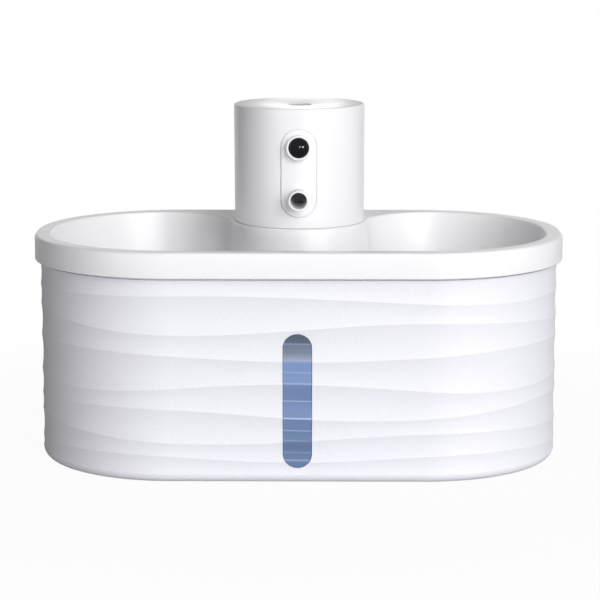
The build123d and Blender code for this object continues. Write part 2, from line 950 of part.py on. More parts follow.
def make_stem_housing():
    """The tower's base and the stem under it in one moulding, with passages for the spout's leg and cable."""
    stem_bore = stem_radius - stem_wall
    housing = rod(base_radius(), tower_base, base_top, 0, tower_y)
    housing += pipe(stem_radius, stem_bore, pump_base, tower_base, 0, tower_y)
    housing += pipe(
        stem_bore + slip, stem_bore - shoulder_width, pump_top, pump_top + shoulder_height, 0, tower_y
    )
    groove_z = (tower_base + base_top) / 2 + tower_gap / 2
    groove_half = seal_radius + slip
    groove_floor = base_radius() - groove_depth
    housing -= pipe(
        base_radius() + overrun, groove_floor, groove_z - groove_half, groove_z + groove_half, 0, tower_y
    )
    for x, y in round_places(screw_ring, screw_angles):
        seat = tower_base + screw_head_sink + screw_head_height
        housing -= rod(screw_radius + screw_gap, tower_base - overrun, base_top + overrun, x, y)
        housing -= rod(screw_head + screw_gap, tower_base - overrun, seat, x, y)
    leg_hole = (spout_leg_radius + slip, tower_base - overrun, base_top + overrun)
    housing -= rod(*leg_hole, 0, spout_leg_y)
    cable_hole = (cable_radius + slip, tower_base - overrun, base_top + overrun)
    return housing - rod(*cable_hole, cable_x, tower_y + cable_y)


def make_base_seal():
    """Round seal in the base's groove, against the tower's wall."""
    z = (tower_base + base_top) / 2 + tower_gap / 2
    ring = tower_radius(z) - tower_wall - seal_radius - seal_gap
    return Pos(0, tower_y, z) * Torus(ring, seal_radius)


def make_base_screws():
    """Screws up through the base into the tower's bosses."""
    screws = []
    for x, y in round_places(screw_ring, screw_angles):
        low = tower_base + screw_head_sink
        head = rod(screw_head, low, low + screw_head_height, x, y)
        screws.append(head + rod(screw_radius, low + screw_head_height, screw_top(), x, y))
    return Compound(screws)


def make_pump_housing():
    """Potted motor body with the rotor's well below, and an outlet channel up to the hose barb."""
    body = rod(stem_radius - stem_wall - pump_gap, pump_base, pump_top, 0, tower_y)
    body += rod(spout_leg_radius, pump_top, pump_top + barb_height, 0, spout_leg_y)
    body -= rod(spout_leg_bore, pump_base - overrun, pump_top + barb_height + overrun, 0, spout_leg_y)
    body -= rod(magnet_radius + magnet_gap, pump_base - overrun, rotor_top() + impeller_gap, 0, tower_y)
    body -= rod(shaft_radius + shaft_fit, pump_base, shaft_top(), 0, tower_y)
    for x, y in round_places(pump_screw_ring, pump_screw_angles):
        body -= rod(pump_screw_radius + slip, pump_base - overrun, pump_screw_top() + slip, x, y)
    return body


def rotor_top():
    """Upper end of the magnet."""
    return pump_base + impeller_gap + magnet_length


def shaft_top():
    """Upper end of the shaft, seated in the motor body."""
    return rotor_top() + impeller_gap + shaft_seat


def shaft_low():
    """Lower end of the shaft, flush with the underside of the spider."""
    return chamber_low - spider_height


def pump_screw_top():
    """Upper end of the screws that hold the pump's cover."""
    return pump_low + pump_screw_head_height + pump_screw_length


def make_pump_cover():
    """Cover with the impeller's chamber, a spider for the shaft and a ring of intake slots underneath."""
    cover = rod(stem_radius, pump_low, pump_base, 0, tower_y)
    cover -= rod(chamber_radius, chamber_low, pump_base + overrun, 0, tower_y)
    outlet_length = spout_leg_offset + spout_leg_bore
    cover -= block(
        volute_width, outlet_length, chamber_low, pump_base + overrun, 0, tower_y - outlet_length / 2
    )
    cover -= rod(intake_radius, pump_low - overrun, chamber_low + overrun, 0, tower_y)
    slot = block(intake_slot, 2 * (stem_radius + overrun), pump_low - overrun, pump_low + intake_slot)
    for angle in even_angles(intake_count)[: intake_count // 2]:
        cover -= tower_axis * Rot(0, 0, angle + 180 / intake_count) * slot
    arm = block(spider_arm, intake_radius + slip, shaft_low(), chamber_low, 0, (intake_radius + slip) / 2)
    for angle in even_angles(spider_count):
        cover += tower_axis * Rot(0, 0, angle) * arm
    cover += rod(spider_hub, shaft_low(), chamber_low, 0, tower_y)
    cover -= rod(shaft_radius + shaft_fit, pump_low, chamber_low + overrun, 0, tower_y)
    for x, y in round_places(pump_screw_ring, pump_screw_angles):
        seat = pump_low + pump_screw_head_height
        cover -= rod(pump_screw_radius + screw_gap, pump_low - overrun, pump_base + overrun, x, y)
        cover -= rod(pump_screw_head + screw_gap, pump_low - overrun, seat, x, y)
    return cover


def make_pump_screws():
    """Screws up through the pump's cover into the motor body."""
    screws = []
    for x, y in round_places(pump_screw_ring, pump_screw_angles):
        seat = pump_low + pump_screw_head_height
        screws.append(
            rod(pump_screw_head, pump_low, seat, x, y) + rod(pump_screw_radius, seat, pump_screw_top(), x, y)
        )
    return Compound(screws)


def make_pump_shaft():
    """Fixed shaft that the impeller runs on."""
    return rod(shaft_radius, shaft_low(), shaft_top(), 0, tower_y)


def make_impeller():
    """Plate with curved blades under it and a sleeve up through the magnet, bored for the shaft."""
    plate_low = pump_base - impeller_gap - impeller_plate
    blade_low = chamber_low + impeller_gap
    ring = Pos(blade_curve, 0) * (
        Circle(blade_curve + blade_thickness / 2) - Circle(blade_curve - blade_thickness / 2)
    )
    upper_half = Pos(0, impeller_radius) * Rectangle(2 * impeller_radius, 2 * impeller_radius)
    blade = (ring & upper_half) & (Circle(impeller_radius) - Circle(impeller_hub - slip))
    wheel = rod(impeller_radius, plate_low, plate_low + impeller_plate)
    wheel += rod(impeller_hub, blade_low, rotor_top())
    for angle in even_angles(blade_count):
        wheel += Rot(0, 0, angle) * extrude(Pos(0, 0, blade_low) * blade, amount=plate_low - blade_low)
    wheel -= rod(shaft_radius + bore_fit, blade_low - overrun, rotor_top() + overrun)
    return tower_axis * wheel


def make_rotor_magnet():
    """Magnet ring on the impeller's sleeve."""
    return pipe(magnet_radius, impeller_hub + magnet_fit, pump_base + impeller_gap, rotor_top(), 0, tower_y)


def make_riser_hose():
    """Soft hose from the pump's barb up to the spout's leg."""
    bore = spout_leg_radius + magnet_fit
    return pipe(bore + hose_wall, bore, pump_top, tower_base, 0, spout_leg_y)


def make_pump_cable():
    """Cable from the pump up through the base to the main board."""
    return rod(cable_radius, pump_top, board_bottom, cable_x, tower_y + cable_y)


tank_block = make_tank_block()
parts = {
    "tank_shell": make_tank_shell(tank_block),
    "level_window": make_level_window(tank_block),
    "window_gasket": make_window_gasket(),
    "rubber_feet": make_rubber_feet(),
    "drinking_tray": make_drinking_tray(),
    "filter_cup": make_filter_cup(),
    "filter_foam": make_filter_foam(),
    "carbon_pad": make_carbon_pad(),
    "strainer_lid": make_strainer_lid(),
    "tower_shell": make_tower_shell(),
    "sensor_plate": make_sensor_plate(),
    "sensor_collar": make_sensor_collar(),
    "sensor_lens": make_sensor_lens(),
    "sensor_can": make_sensor_can(),
    "sensor_board": make_sensor_board(),
    "water_spout": make_water_spout(),
    "spout_seal": make_spout_seal(),
    "mode_button": make_mode_button(),
    "button_switch": make_button_switch(),
    "main_board": make_main_board(),
    "board_screws": make_board_screws(),
    "charge_socket": make_charge_socket(),
    "port_cover": make_port_cover(),
    "battery_cradle": make_battery_cradle(),
    "battery_pack": make_battery_pack(),
    "battery_leads": make_battery_leads(),
    "stem_housing": make_stem_housing(),
    "base_seal": make_base_seal(),
    "base_screws": make_base_screws(),
    "pump_housing": make_pump_housing(),
    "pump_cover": make_pump_cover(),
    "pump_screws": make_pump_screws(),
    "pump_shaft": make_pump_shaft(),
    "impeller": make_impeller(),
    "rotor_magnet": make_rotor_magnet(),
    "riser_hose": make_riser_hose(),
    "pump_cable": make_pump_cable(),
}

os.makedirs("parts", exist_ok=True)
for node, shape in parts.items():
    export_step(shape, f"parts/{node}.step")
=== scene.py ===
import json
import math

import bmesh
import bpy
import numpy as np
from bpy.props import FloatProperty, FloatVectorProperty, PointerProperty
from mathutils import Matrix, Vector
from mathutils.geometry import tessellate_polygon


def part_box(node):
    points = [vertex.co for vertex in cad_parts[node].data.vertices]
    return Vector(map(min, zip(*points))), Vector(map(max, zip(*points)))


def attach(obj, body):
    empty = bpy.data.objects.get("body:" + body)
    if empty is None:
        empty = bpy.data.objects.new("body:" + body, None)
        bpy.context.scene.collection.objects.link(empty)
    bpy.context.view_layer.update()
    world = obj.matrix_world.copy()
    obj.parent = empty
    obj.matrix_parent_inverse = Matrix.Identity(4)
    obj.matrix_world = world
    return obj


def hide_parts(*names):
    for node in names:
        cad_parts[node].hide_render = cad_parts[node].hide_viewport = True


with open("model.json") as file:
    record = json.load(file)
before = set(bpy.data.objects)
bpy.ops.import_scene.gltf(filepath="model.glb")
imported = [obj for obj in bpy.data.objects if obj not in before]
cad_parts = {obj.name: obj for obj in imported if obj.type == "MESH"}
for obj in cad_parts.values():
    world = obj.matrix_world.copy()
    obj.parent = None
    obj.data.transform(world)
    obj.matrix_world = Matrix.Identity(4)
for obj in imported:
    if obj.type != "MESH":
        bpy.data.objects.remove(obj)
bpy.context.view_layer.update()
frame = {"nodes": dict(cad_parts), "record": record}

bl_info = {
    "name": "Pet drinking fountain",
    "version": (1, 0, 0),
    "blender": (4, 5, 0),
    "location": "3D View > Sidebar > Fountain",
    "description": "Dresses the packed fountain with its moulded skins, finishes and a small studio",
    "category": "Object",
}

# Lengths are in millimetres until a mesh is written, and guard is the room left round an arc.
metre = 0.001
guard = 0.5
# In metres: points nearer than the first are joined, edges shorter than the second are removed
weld_distance = 4e-6
speck_size = 1e-7
sharp_angle = math.radians(32.0)

# Tray
tray_half = (135.0, 77.0)
tray_corner = 72.0
rim_height = 116.5
rim_skirt = 12.8
rim_plate = 2.6
rim_ring = 8.4
rim_edge = 1.8
skirt_wall = 1.8
tray_wall = 2.0
basin_depth = 34.0
basin_slope = math.tan(math.radians(8.0))
basin_edge = 1.2
basin_floor_radius = 10.0
deck_radius = 35.8
flare_radius = 36.0
stem_hole = 25.4
well_radius = 16.0
well_wall = 1.8
well_depth = 22.0
drain_radius = 2.6
drain_ring = 9.28
drain_count = 6
floor_reach = 11.2
skirt_edges = (0.4, 0.5)
well_edges = (0.3, 0.4)
hole_edge = 0.4

# Tank
tank_half = (132.3, 74.3)
tank_corner = 69.3
tank_top = 113.9
tank_foot = 1.5
tank_edge = 4.5
tank_floor = 4.5
wall_inset = 3.0
floor_round = 2.0
rim_round = 0.5
inner_wall_top = 80.0
inner_wall_low = 7.2
relief_top = 102.7
seam_depth = 1.4
seam_height = 1.4
seam_lean = 0.05
flute_pitch = 13.08
# For each ridge from the top: height, swing, waves round the tank, place of a crest
ridge_shares = (
    (0.806, 0.93, 2, -0.07),
    (0.683, 1.00, 3, 0.09),
    (0.560, 0.77, 3, 0.175),
    (0.417, 0.90, 3, -0.01),
    (0.305, 1.00, 3, -0.12),
    (0.197, 0.90, 3, 0.11),
    (0.108, 0.60, 4, 0.124),
)
foot_reach = (87.318, 43.094)
foot_places = [(foot_reach[0] * x, foot_reach[1] * y) for x in (-1, 1) for y in (-1, 1)]
foot_radius = 8.0
foot_sink = 1.0
foot_room = 0.1
foot_edge = 0.4

# Window
window_height = 42.6
window_run = 26.35
slot_radius = 7.15
wall_slot = slot_radius + 0.3
slot_spread = 26.0
pane_radius = 7.0
pane_round = 0.25
pane_recess = 0.5
pane_flange = 9.55
pane_flange_front = -70.5
pane_back = -69.0
# Section of the slot's lip: reach from the slot, depth from the wall, radius of the corner
lip_section = ((0.62, 0.3, 0), (0.62, -0.03, 0.1), (0, -0.03, 0.34), (0, 2.4, 0), (0.62, 2.4, 0))

# Tower
tower_y = 37.0
tower_low = 116.62
tower_base = 116.5
tower_top = 178.5
tower_ceiling = 176.0
tower_wall = 2.4
tower_radii = (34.1, 34.4)
top_edges = (1.0, 0.5, 0.3)
foot_edges = (0.2, 0.3)
foot_bore = 31.7
ceiling_bore = 31.9
dish_radius = 31.4
dish_low = 177.7
key_hole = 6.45
# Heights where the straight wall starts, has one more row, and ends
wall_rows = (119.0, 172.0, 175.0)
row_room = 0.001
port_z = 166.15
port_plane = 69.84
port_half = (8.2, 4.8)
port_wall = 3.0
mouth_radius = 1.95
mouth_run = 2.8

# Front plate, sensor, spout and key
plate_z = 145.3
plate_radius = 9.45
plate_run = 13.65
plate_gap = 0.35
plate_edge = 0.3
plate_proud = 0.4
plate_sink = 0.9
plate_steps = 14
plate_turns = 40
groove_depth = 0.5
groove_rim = 0.02
sensor_z = 158.8
sensor_hole = 6.4
spout_z = 132.3
spout_radius = 5.25
spout_bore = 4.25
spout_front = -6.98
spout_lip = 0.8
spout_edges = (0.3, 0.4)
spout_lap = 0.1
spout_bend = 6.0
leg_y = 22.0
leg_step = 122.3
leg_low = 106.5
leg_radius = 4.0
leg_bore = 2.8
# Turned profiles: radius, place along the axis, radius of the corner
collar_profile = (
    (5.3, 1.0, 0), (5.3, -0.94, 0.25), (6.5, -0.94, 0.5), (6.5, 6.4, 0), (5.3, 6.4, 0), (5.3, 1.0, 0),
)
lens_profile = ((4.6, -0.64, 0), (5.2, -0.6, 0.3), (5.2, 1.5, 0), (0, 1.5, 0))
lens_bulge = 0.2
key_profile = (
    (5.2, 177.4, 0), (6.2, 177.4, 0.5), (6.2, 176.0, 0), (7.7, 176.0, 0), (7.7, 174.8, 0), (0, 174.8, 0),
)
key_hollow = 0.25


def tower_radius(z):
    """Outer radius of the slightly tapered tower at a height: a straight line between its two radii."""
    share = (z - tower_base) / (tower_top - tower_base)
    return tower_radii[0] + (tower_radii[1] - tower_radii[0]) * share


# Meshes


def grid_patch(points, wrap=False):
    """Points on a grid with the quads between them. Wrap joins the last column to the first."""
    rows, columns = points.shape[:2]
    index = np.arange(rows * columns).reshape(rows, columns)
    if wrap:
        index = np.column_stack([index, index[:, 0]])
    corners = (index[:-1, :-1], index[:-1, 1:], index[1:, 1:], index[1:, :-1])
    return points.reshape(-1, 3), np.stack(corners, -1).reshape(-1, 4).tolist()


def sleeve(loop, *lifts):
    """Wall between a flat loop of points in two places."""
    return grid_patch(np.stack([lift(loop) for lift in lifts]), wrap=True)


def fill_patch(loops, lift):
    """Flat triangles between an outer loop and the holes in it; lift turns the flat points into places."""
    triangles = tessellate_polygon([[Vector((*point, 0.0)) for point in loop] for loop in loops])
    return lift(np.concatenate(loops)), [list(triangle) for triangle in triangles]


def level(z):
    """Lifts flat points to a height."""
    return lambda flat: np.column_stack([flat, np.full(len(flat), z)])


def upright(y):
    """Stands flat points up in a plane across the front."""
    return lambda flat: np.column_stack([flat[:, 0], np.full(len(flat), y), flat[:, 1]])


def make_piece(name, patches, bridge=False):
    """One smooth mesh object from patches in millimetres, with seams closed and faces outwards."""
    points, faces = [], []
    for places, cells in patches:
        start = sum(len(block) for block in points)
        points.append(places)
        faces += [[start + corner for corner in cell] for cell in cells]
    mesh = bpy.data.meshes.new(name)
    mesh.from_pydata(np.concatenate(points) * metre, [], faces)
    work = bmesh.new()
    work.from_mesh(mesh)
    bmesh.ops.remove_doubles(work, verts=work.verts, dist=weld_distance)
    bmesh.ops.dissolve_degenerate(work, edges=work.edges, dist=speck_size)
    if bridge:
        bmesh.ops.bridge_loops(work, edges=[edge for edge in work.edges if edge.is_boundary])
    bmesh.ops.recalc_face_normals(work, faces=work.faces)
    work.to_mesh(mesh)
    work.free()
    mesh.polygons.foreach_set("use_smooth", np.ones(len(mesh.polygons), bool))
    mesh.set_sharp_from_angle(angle=sharp_angle)
    mesh.update()
    piece = bpy.data.objects.new(name, mesh)
    bpy.context.scene.collection.objects.link(piece)
    return piece


def dress(piece, node, body, slot):
    """Puts a piece in a CAD node's place, if it has one, on its body and with its finish."""
    piece.data.materials.append(finish_of(slot))
    if node:
        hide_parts(node)
    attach(piece, body)


def soften(corners, steps=5):
    """A run of corners (first, second, radius) with an arc of that radius in each, where it isn't zero."""
    places = np.array([corner[:2] for corner in corners], float)
    run = [places[:1]]
    for before, here, after, (*_, radius) in zip(places, places[1:], places[2:], corners[1:]):
        if not radius:
            run.append(here[None])
            continue
        back, on = ((other - here) / np.linalg.norm(other - here) for other in (before, after))
        half = np.arccos(np.clip(back @ on, -1, 1)) / 2
        middle = here + (back + on) / np.linalg.norm(back + on) * radius / np.sin(half)
        start, end = (here + way * radius / np.tan(half) - middle for way in (back, on))
        share = np.linspace(0, 1, steps + 1)[:, None]
        sweep = np.pi - 2 * half
        arc = (np.sin((1 - share) * sweep) * start + np.sin(share * sweep) * end) / np.sin(sweep)
        run.append(middle + arc)
    run.append(places[-1:])
    return np.concatenate(run)


def turned(profile, place, standing=True, count=96):
    """A profile of radius and height carried round an upright axis, or round one from front to back."""
    turn = np.linspace(0, 2 * np.pi, count, endpoint=False)
    radius, along = profile[:, :1], np.repeat(profile[:, 1:], count, 1)
    across, other = radius * np.cos(turn), radius * np.sin(turn)
    order = (across, other, along) if standing else (across, along, other)
    return grid_patch(np.stack(order, -1) + np.array(place), wrap=True)


def domed(edge, rise, count):
    """Profile from the axis to an edge: it rises to the edge by the square of its share of the way."""
    share = np.linspace(0, 1, count)
    return np.column_stack([edge[0] * share, edge[1] - rise + rise * share**2])


def ring(radius, place, count=96):
    """Flat circle of points."""
    turn = np.linspace(0, 2 * np.pi, count, endpoint=False)
    return np.column_stack([np.cos(turn), np.sin(turn)]) * radius + np.array(place)


def rounded_track(half, corner, share):
    """Rounded rectangle by share of its length from the middle of the front towards +X.

    A core point runs along the inner rectangle while the outward direction turns in the corners,
    and the point is the core plus the corner's radius along that direction."""
    flat_x, flat_y = half[0] - corner, half[1] - corner
    bend = corner * math.pi / 2
    stops = np.cumsum([0, flat_x, bend, 2 * flat_y, bend, 2 * flat_x, bend, 2 * flat_y, bend, flat_x])
    along = share * stops[-1]
    angle = np.interp(along, stops, np.radians([-90, -90, 0, 0, 90, 90, 180, 180, 270, 270]))
    core_x = np.interp(along, stops, flat_x * np.array([0, 1, 1, 1, 1, -1, -1, -1, -1, 0]))
    core_y = np.interp(along, stops, flat_y * np.array([-1, -1, -1, 1, 1, 1, 1, -1, -1, -1]))
    outward = np.stack([np.cos(angle), np.sin(angle)], -1)
    return np.stack([core_x, core_y], -1) + corner * outward, outward


def carried(points, outward, profile):
    """A profile of inset and height along a flat track: point minus inset times its outward direction."""
    inset = profile[:, 0][:, None, None]
    flat = points[None] - inset * outward[None]
    height = np.broadcast_to(profile[:, 1][:, None, None], flat.shape[:2] + (1,))
    return np.concatenate([flat, height], -1)


# Tank


def tank_length():
    """Length of the tank's outline."""
    straight = 4 * (tank_half[0] + tank_half[1] - 2 * tank_corner)
    return straight + 2 * math.pi * tank_corner


def flute_lines(share):
    """Heights round the tank: a level top line, the ridges, each a cosine wave, and a level foot line."""
    lines = [np.full_like(share, relief_top)]
    span = tank_top - tank_foot
    swing = bpy.context.scene.fountain_sizes.ridge_swing / metre
    for height_share, swing_share, waves, crest_share in ridge_shares:
        wave = np.cos(2 * np.pi * waves * (share - crest_share))
        lines.append(tank_foot + span * height_share + swing * swing_share * wave)
    lines.append(np.full_like(share, tank_foot + tank_edge))
    return np.array(lines)


def scallop(upper, lower, part, share):
    """Depth of the hollow between two ridges: a parabola, as deep as they stand apart, half at the ends."""
    deepest = bpy.context.scene.fountain_sizes.flute_depth / metre
    depth = deepest * (1 - np.sin(2 * np.pi * share) ** 2 / 2)
    return 4 * depth * (upper - lower) / flute_pitch * part * (1 - part)


def slot_half(z, radius, run, middle):
    """Half width of an upright capsule at a height: its radius, or a circle's past its straight run."""
    beyond = np.maximum(np.abs(z - middle) - run, 0)
    return np.sqrt(np.maximum(radius**2 - beyond**2, 0))


def opened(share, half_width, length):
    """Shares near the front moved aside in step, so that a row starts and ends at the slot's edge."""
    along = share * length
    near = np.minimum(along, length - along)
    push = half_width * np.clip(1 - near / slot_spread, 0, None)
    return (along + np.where(share < 0.5, push, -push)) / length


def tank_rows(share, z, inset):
    """Places by share of the tank's outline and height, moved in by an inset."""
    points, outward = rounded_track(tank_half, tank_corner, share)
    return np.concatenate([points - inset * outward, z[..., None]], -1)


def slit_rows(share, heights):
    """Rows whose ends follow the window's slot, for heights that follow from the shares in each row."""
    length = tank_length()
    moved = share
    for _ in range(5):
        z = heights(moved)
        right = slot_half(z[:, :1], wall_slot, window_run, window_height)
        left = slot_half(z[:, -1:], wall_slot, window_run, window_height)
        moved = opened(share, np.where(share < 0.5, right, left), length)
    return moved, heights(moved)


def make_tank(columns=420, band_rows=17):
    """Fluted outer wall, groove under the skirt, rounded foot, inner wall, floor and the window's slot.

    Between two ridges a row's height is a blend of theirs, and its inset is the scallop's depth there."""
    share = np.linspace(0, 1, columns + 1)
    bands = len(ridge_shares) + 1
    part = np.concatenate([(1 - np.cos(np.linspace(0, np.pi, band_rows + 1)))[:-1] / 2] * bands + [[1.0]])
    band = np.minimum(np.repeat(np.arange(bands + 1), band_rows)[: len(part)], bands - 1)
    part, row = part[:, None], np.arange(len(part))

    def heights(moved):
        lines = flute_lines(np.broadcast_to(moved, (len(part), columns + 1)))
        return lines[band, row] * (1 - part) + lines[band + 1, row] * part

    base = np.broadcast_to(share, (len(part), columns + 1))
    moved, z = slit_rows(base, heights)
    lines = flute_lines(moved)
    inset = scallop(lines[band, row], lines[band + 1, row], part, moved)
    wall = tank_rows(moved, z, inset[..., None])

    arc = np.linspace(0, np.pi / 2, 8)
    foot = np.column_stack([tank_edge * (1 - np.cos(arc)), tank_foot + tank_edge * (1 - np.sin(arc))])
    foot = np.concatenate([foot, [[tank_edge + guard, tank_foot]]])
    seam_top = relief_top + seam_height
    rim = soften(
        [(0, relief_top, 0), (seam_depth, relief_top + seam_lean, 0), (seam_depth, seam_top - seam_lean, 0),
         (0, seam_top, 0), (0, tank_top, rim_round), (wall_inset, tank_top, rim_round),
         (wall_inset, inner_wall_top, 0)], 3,
    )
    track, out = rounded_track(tank_half, tank_corner, share)

    ends = np.linspace(0, np.pi / 2, 9)
    end_z = window_run + wall_slot * np.cos(ends)
    inner_z = np.concatenate(
        [[inner_wall_top], window_height + end_z, window_height - end_z[::-1], [inner_wall_low]]
    )[:, None]
    base = np.broadcast_to(share, (len(inner_z), columns + 1))
    moved, z = slit_rows(base, lambda moved: np.broadcast_to(inner_z, moved.shape))
    inner = tank_rows(moved, z, wall_inset)
    bowl = soften(
        [(wall_inset, inner_wall_low, 0), (wall_inset, tank_floor, floor_round),
         (wall_inset + floor_round + guard, tank_floor, 0)], 4,
    )
    patches = [grid_patch(wall), grid_patch(inner)]
    patches += [grid_patch(carried(track, out, profile)) for profile in (foot, rim, bowl)]
    under = (track - (tank_edge + guard) * out)[:-1]
    pads = [ring(foot_radius + foot_room, place, 48) for place in foot_places]
    patches.append(fill_patch([under] + pads, level(tank_foot)))
    for pad in pads:
        patches.append(fill_patch([pad], level(tank_foot + foot_sink)))
        patches.append(sleeve(pad, level(tank_foot), level(tank_foot + foot_sink)))
    patches.append(fill_patch([(track - bowl[-1, 0] * out)[:-1]], level(tank_floor)))
    return make_piece("tank_wall", patches, bridge=True)


def wall_depth(x, z):
    """Depth of the flutes below the flat front, found from the two ridges that a point lies between."""
    share = (x / tank_length()) % 1.0
    lines = flute_lines(share)
    depth = np.zeros_like(z)
    for upper, lower in zip(lines, lines[1:]):
        part = (upper - z) / (upper - lower)
        depth += np.where((part >= 0) & (part < 1), scallop(upper, lower, part, share), 0)
    return depth


def round_capsule(reach, height, run, sides=110, ends=36):
    """Once round an upright capsule: places x and z at a reach from its straight middle line."""
    side = np.linspace(-run, run, sides + 1)[:-1]
    turn = np.linspace(0, np.pi, ends + 1)[:-1]
    middle = np.concatenate([side, np.full(ends, run), -side, np.full(ends, -run)])
    angle = np.concatenate([np.zeros(sides), turn, np.full(sides, np.pi), turn + np.pi])
    return reach * np.cos(angle), height + middle + reach * np.sin(angle)


def make_window_edge():
    """Rounded lip round the slot: a small closed section carried round the capsule, on the fluted wall."""
    lip = soften(lip_section, 6)
    x, z = round_capsule(slot_radius + lip[:, :1], window_height, window_run)
    y = -tank_half[1] + wall_depth(x, z) + lip[:, 1:]
    grid = np.stack([x, y, z], -1)
    return make_piece("window_edge", [grid_patch(np.concatenate([grid, grid[:1]]), wrap=True)])


def make_window():
    """Blue pane: rows shrink from the capsule's edge to its middle line, fluted in front and flat behind."""
    front = np.linspace(0, pane_radius - pane_round, 15)[:, None]
    arc = np.linspace(0, np.pi / 2, 5)[1:, None]
    reach = np.concatenate([front, pane_radius - pane_round + pane_round * np.sin(arc)])
    sink = np.concatenate([np.zeros_like(front), pane_round * (1 - np.cos(arc))]) + pane_recess
    x, z = round_capsule(reach, window_height, window_run)
    face = np.stack([x, -tank_half[1] + wall_depth(x, z) + sink, z], -1)
    back = np.array([
        (pane_radius, pane_flange_front), (pane_flange, pane_flange_front),
        (pane_flange, pane_back), (0, pane_back),
    ])
    x, z = round_capsule(back[:, :1], window_height, window_run)
    rest = np.stack([x, np.broadcast_to(back[:, 1:], x.shape), z], -1)
    return make_piece("window_pane", [grid_patch(np.concatenate([face, rest]), wrap=True)])


def make_feet():
    """Four turned pads with a rounded lower edge."""
    high = tank_foot + foot_sink
    profile = soften([(0, 0, 0), (foot_radius, 0, foot_edge), (foot_radius, high, 0), (0, high, 0)])
    return make_piece("foot_pads", [turned(profile, (x, y, 0), count=64) for x, y in foot_places])


# Tray


def trough_track():
    """Edge of the trough and the direction out of it: runs and arcs in line, then their mirror image."""
    corner = tray_corner - rim_ring
    corner_x, corner_y = tray_half[0] - tray_corner, tray_half[1] - tray_corner
    near, far = corner - flare_radius, deck_radius + flare_radius
    gap = np.array([corner_x, corner_y - tower_y])
    apart = np.linalg.norm(gap)
    along = (far**2 - near**2 + apart**2) / (2 * apart)
    aside = math.sqrt(far**2 - along**2)
    towards = gap / apart
    flare = np.array([0, tower_y]) + along * towards + aside * np.array([-towards[1], towards[0]])
    corner_turn = math.atan2(flare[1] - corner_y, flare[0] - corner_x)
    deck_turn = math.atan2(flare[1] - tower_y, flare[0])

    def arc(centre, radius, start, end, count, inwards=1):
        turn = np.linspace(start, end, count + 1)[:-1]
        out = np.column_stack([np.cos(turn), np.sin(turn)])
        return np.array(centre) + radius * out, inwards * out

    runs = [
        arc((corner_x, -corner_y), corner, -math.pi / 2, 0, 56),
        arc((corner_x, corner_y), corner, 0, corner_turn, 48),
        arc(flare, flare_radius, corner_turn, math.pi + deck_turn, 60),
        arc((0, tower_y), deck_radius, deck_turn, -math.pi / 2, 54, -1),
    ]
    end = (np.array([[0, tower_y - deck_radius]]), np.array([[0, 1.0]]))
    start_x = np.linspace(0, corner_x, 13)[:-1]
    start = np.column_stack([start_x, np.full_like(start_x, -corner_y - corner)])
    points = np.concatenate([start] + [run[0] for run in runs] + [end[0]])
    front = np.tile([0.0, -1.0], (len(start), 1))
    outward = np.concatenate([front] + [run[1] for run in runs] + [end[1]])
    flip = np.array([-1, 1])
    return [np.concatenate([half, half[-2:0:-1] * flip]) for half in (points, outward)]


def make_tray():
    """Rim and skirt carried round the outer track, and the trough's wall carried round its own edge.

    The trough's section is level, sloping and level again with an arc in each corner, inside and out."""
    share = np.linspace(0, 1, 400, endpoint=False)
    track, out = rounded_track(tray_half, tray_corner, share)
    skirt_low = rim_height - rim_skirt
    plate_low = rim_height - rim_plate
    skirt = soften(
        [(skirt_wall + guard, plate_low, 0), (skirt_wall, plate_low, 0),
         (skirt_wall, skirt_low, skirt_edges[0]), (0, skirt_low, skirt_edges[1]),
         (0, rim_height, rim_edge), (rim_edge + guard, rim_height, 0)], 8,
    )
    edge, away = trough_track()
    fall = basin_depth * basin_slope
    floor = rim_height - basin_depth
    trough = soften(
        [(-basin_edge - guard, rim_height, 0), (0, rim_height, basin_edge),
         (fall, floor, basin_floor_radius), (fall + floor_reach, floor, 0)], 14,
    )
    below = floor - tray_wall
    outer_fall = (rim_height - below) * basin_slope - tray_wall
    start = (rim_height - plate_low) * basin_slope - tray_wall
    shell = soften(
        [(start, plate_low, 0), (outer_fall, below, basin_floor_radius + tray_wall),
         (outer_fall + floor_reach, below, 0)], 10,
    )
    well_y = (tower_y - deck_radius - tray_half[1] + rim_ring) / 2
    well = (0, well_y)
    well_low = floor - well_depth
    under = well_low - well_wall
    bore = soften(
        [(well_radius + guard, floor, 0), (well_radius, floor, well_edges[0]),
         (well_radius, well_low, well_edges[1]), (well_radius - 2 * guard, well_low, 0)], 4,
    )
    pot = np.array([(well_radius + well_wall, below), (well_radius + well_wall, under)])
    hole = soften(
        [(stem_hole + guard, rim_height, 0), (stem_hole, rim_height, hole_edge),
         (stem_hole, plate_low, 0)], 4,
    )
    drain_turn = np.radians(np.arange(drain_count) * 360 / drain_count)
    drains = [
        ring(drain_radius, (drain_ring * math.cos(turn), well_y + drain_ring * math.sin(turn)), 24)
        for turn in drain_turn
    ]
    seat = (0, tower_y)
    sheets = (
        (rim_height, [track - skirt[-1, 0] * out, edge - trough[0, 0] * away, ring(hole[0, 0], seat)]),
        (floor, [edge - trough[-1, 0] * away, ring(bore[0, 0], well)]),
        (well_low, [ring(bore[-1, 0], well)] + drains),
        (under, [ring(pot[0, 0], well)] + drains),
        (below, [edge - shell[-1, 0] * away, ring(pot[0, 0], well)]),
        (plate_low, [track - skirt[0, 0] * out, edge - shell[0, 0] * away, ring(stem_hole, seat)]),
    )
    walls = ((track, out, skirt), (edge, away, trough), (edge, away, shell))
    patches = [grid_patch(carried(*wall), wrap=True) for wall in walls]
    patches += [turned(wall, (*place, 0)) for wall, place in ((bore, well), (pot, well), (hole, seat))]
    patches += [fill_patch(loops, level(height)) for height, loops in sheets]
    patches += [sleeve(drain, level(well_low), level(under)) for drain in drains]
    return make_piece("tray_body", patches)


# Tower


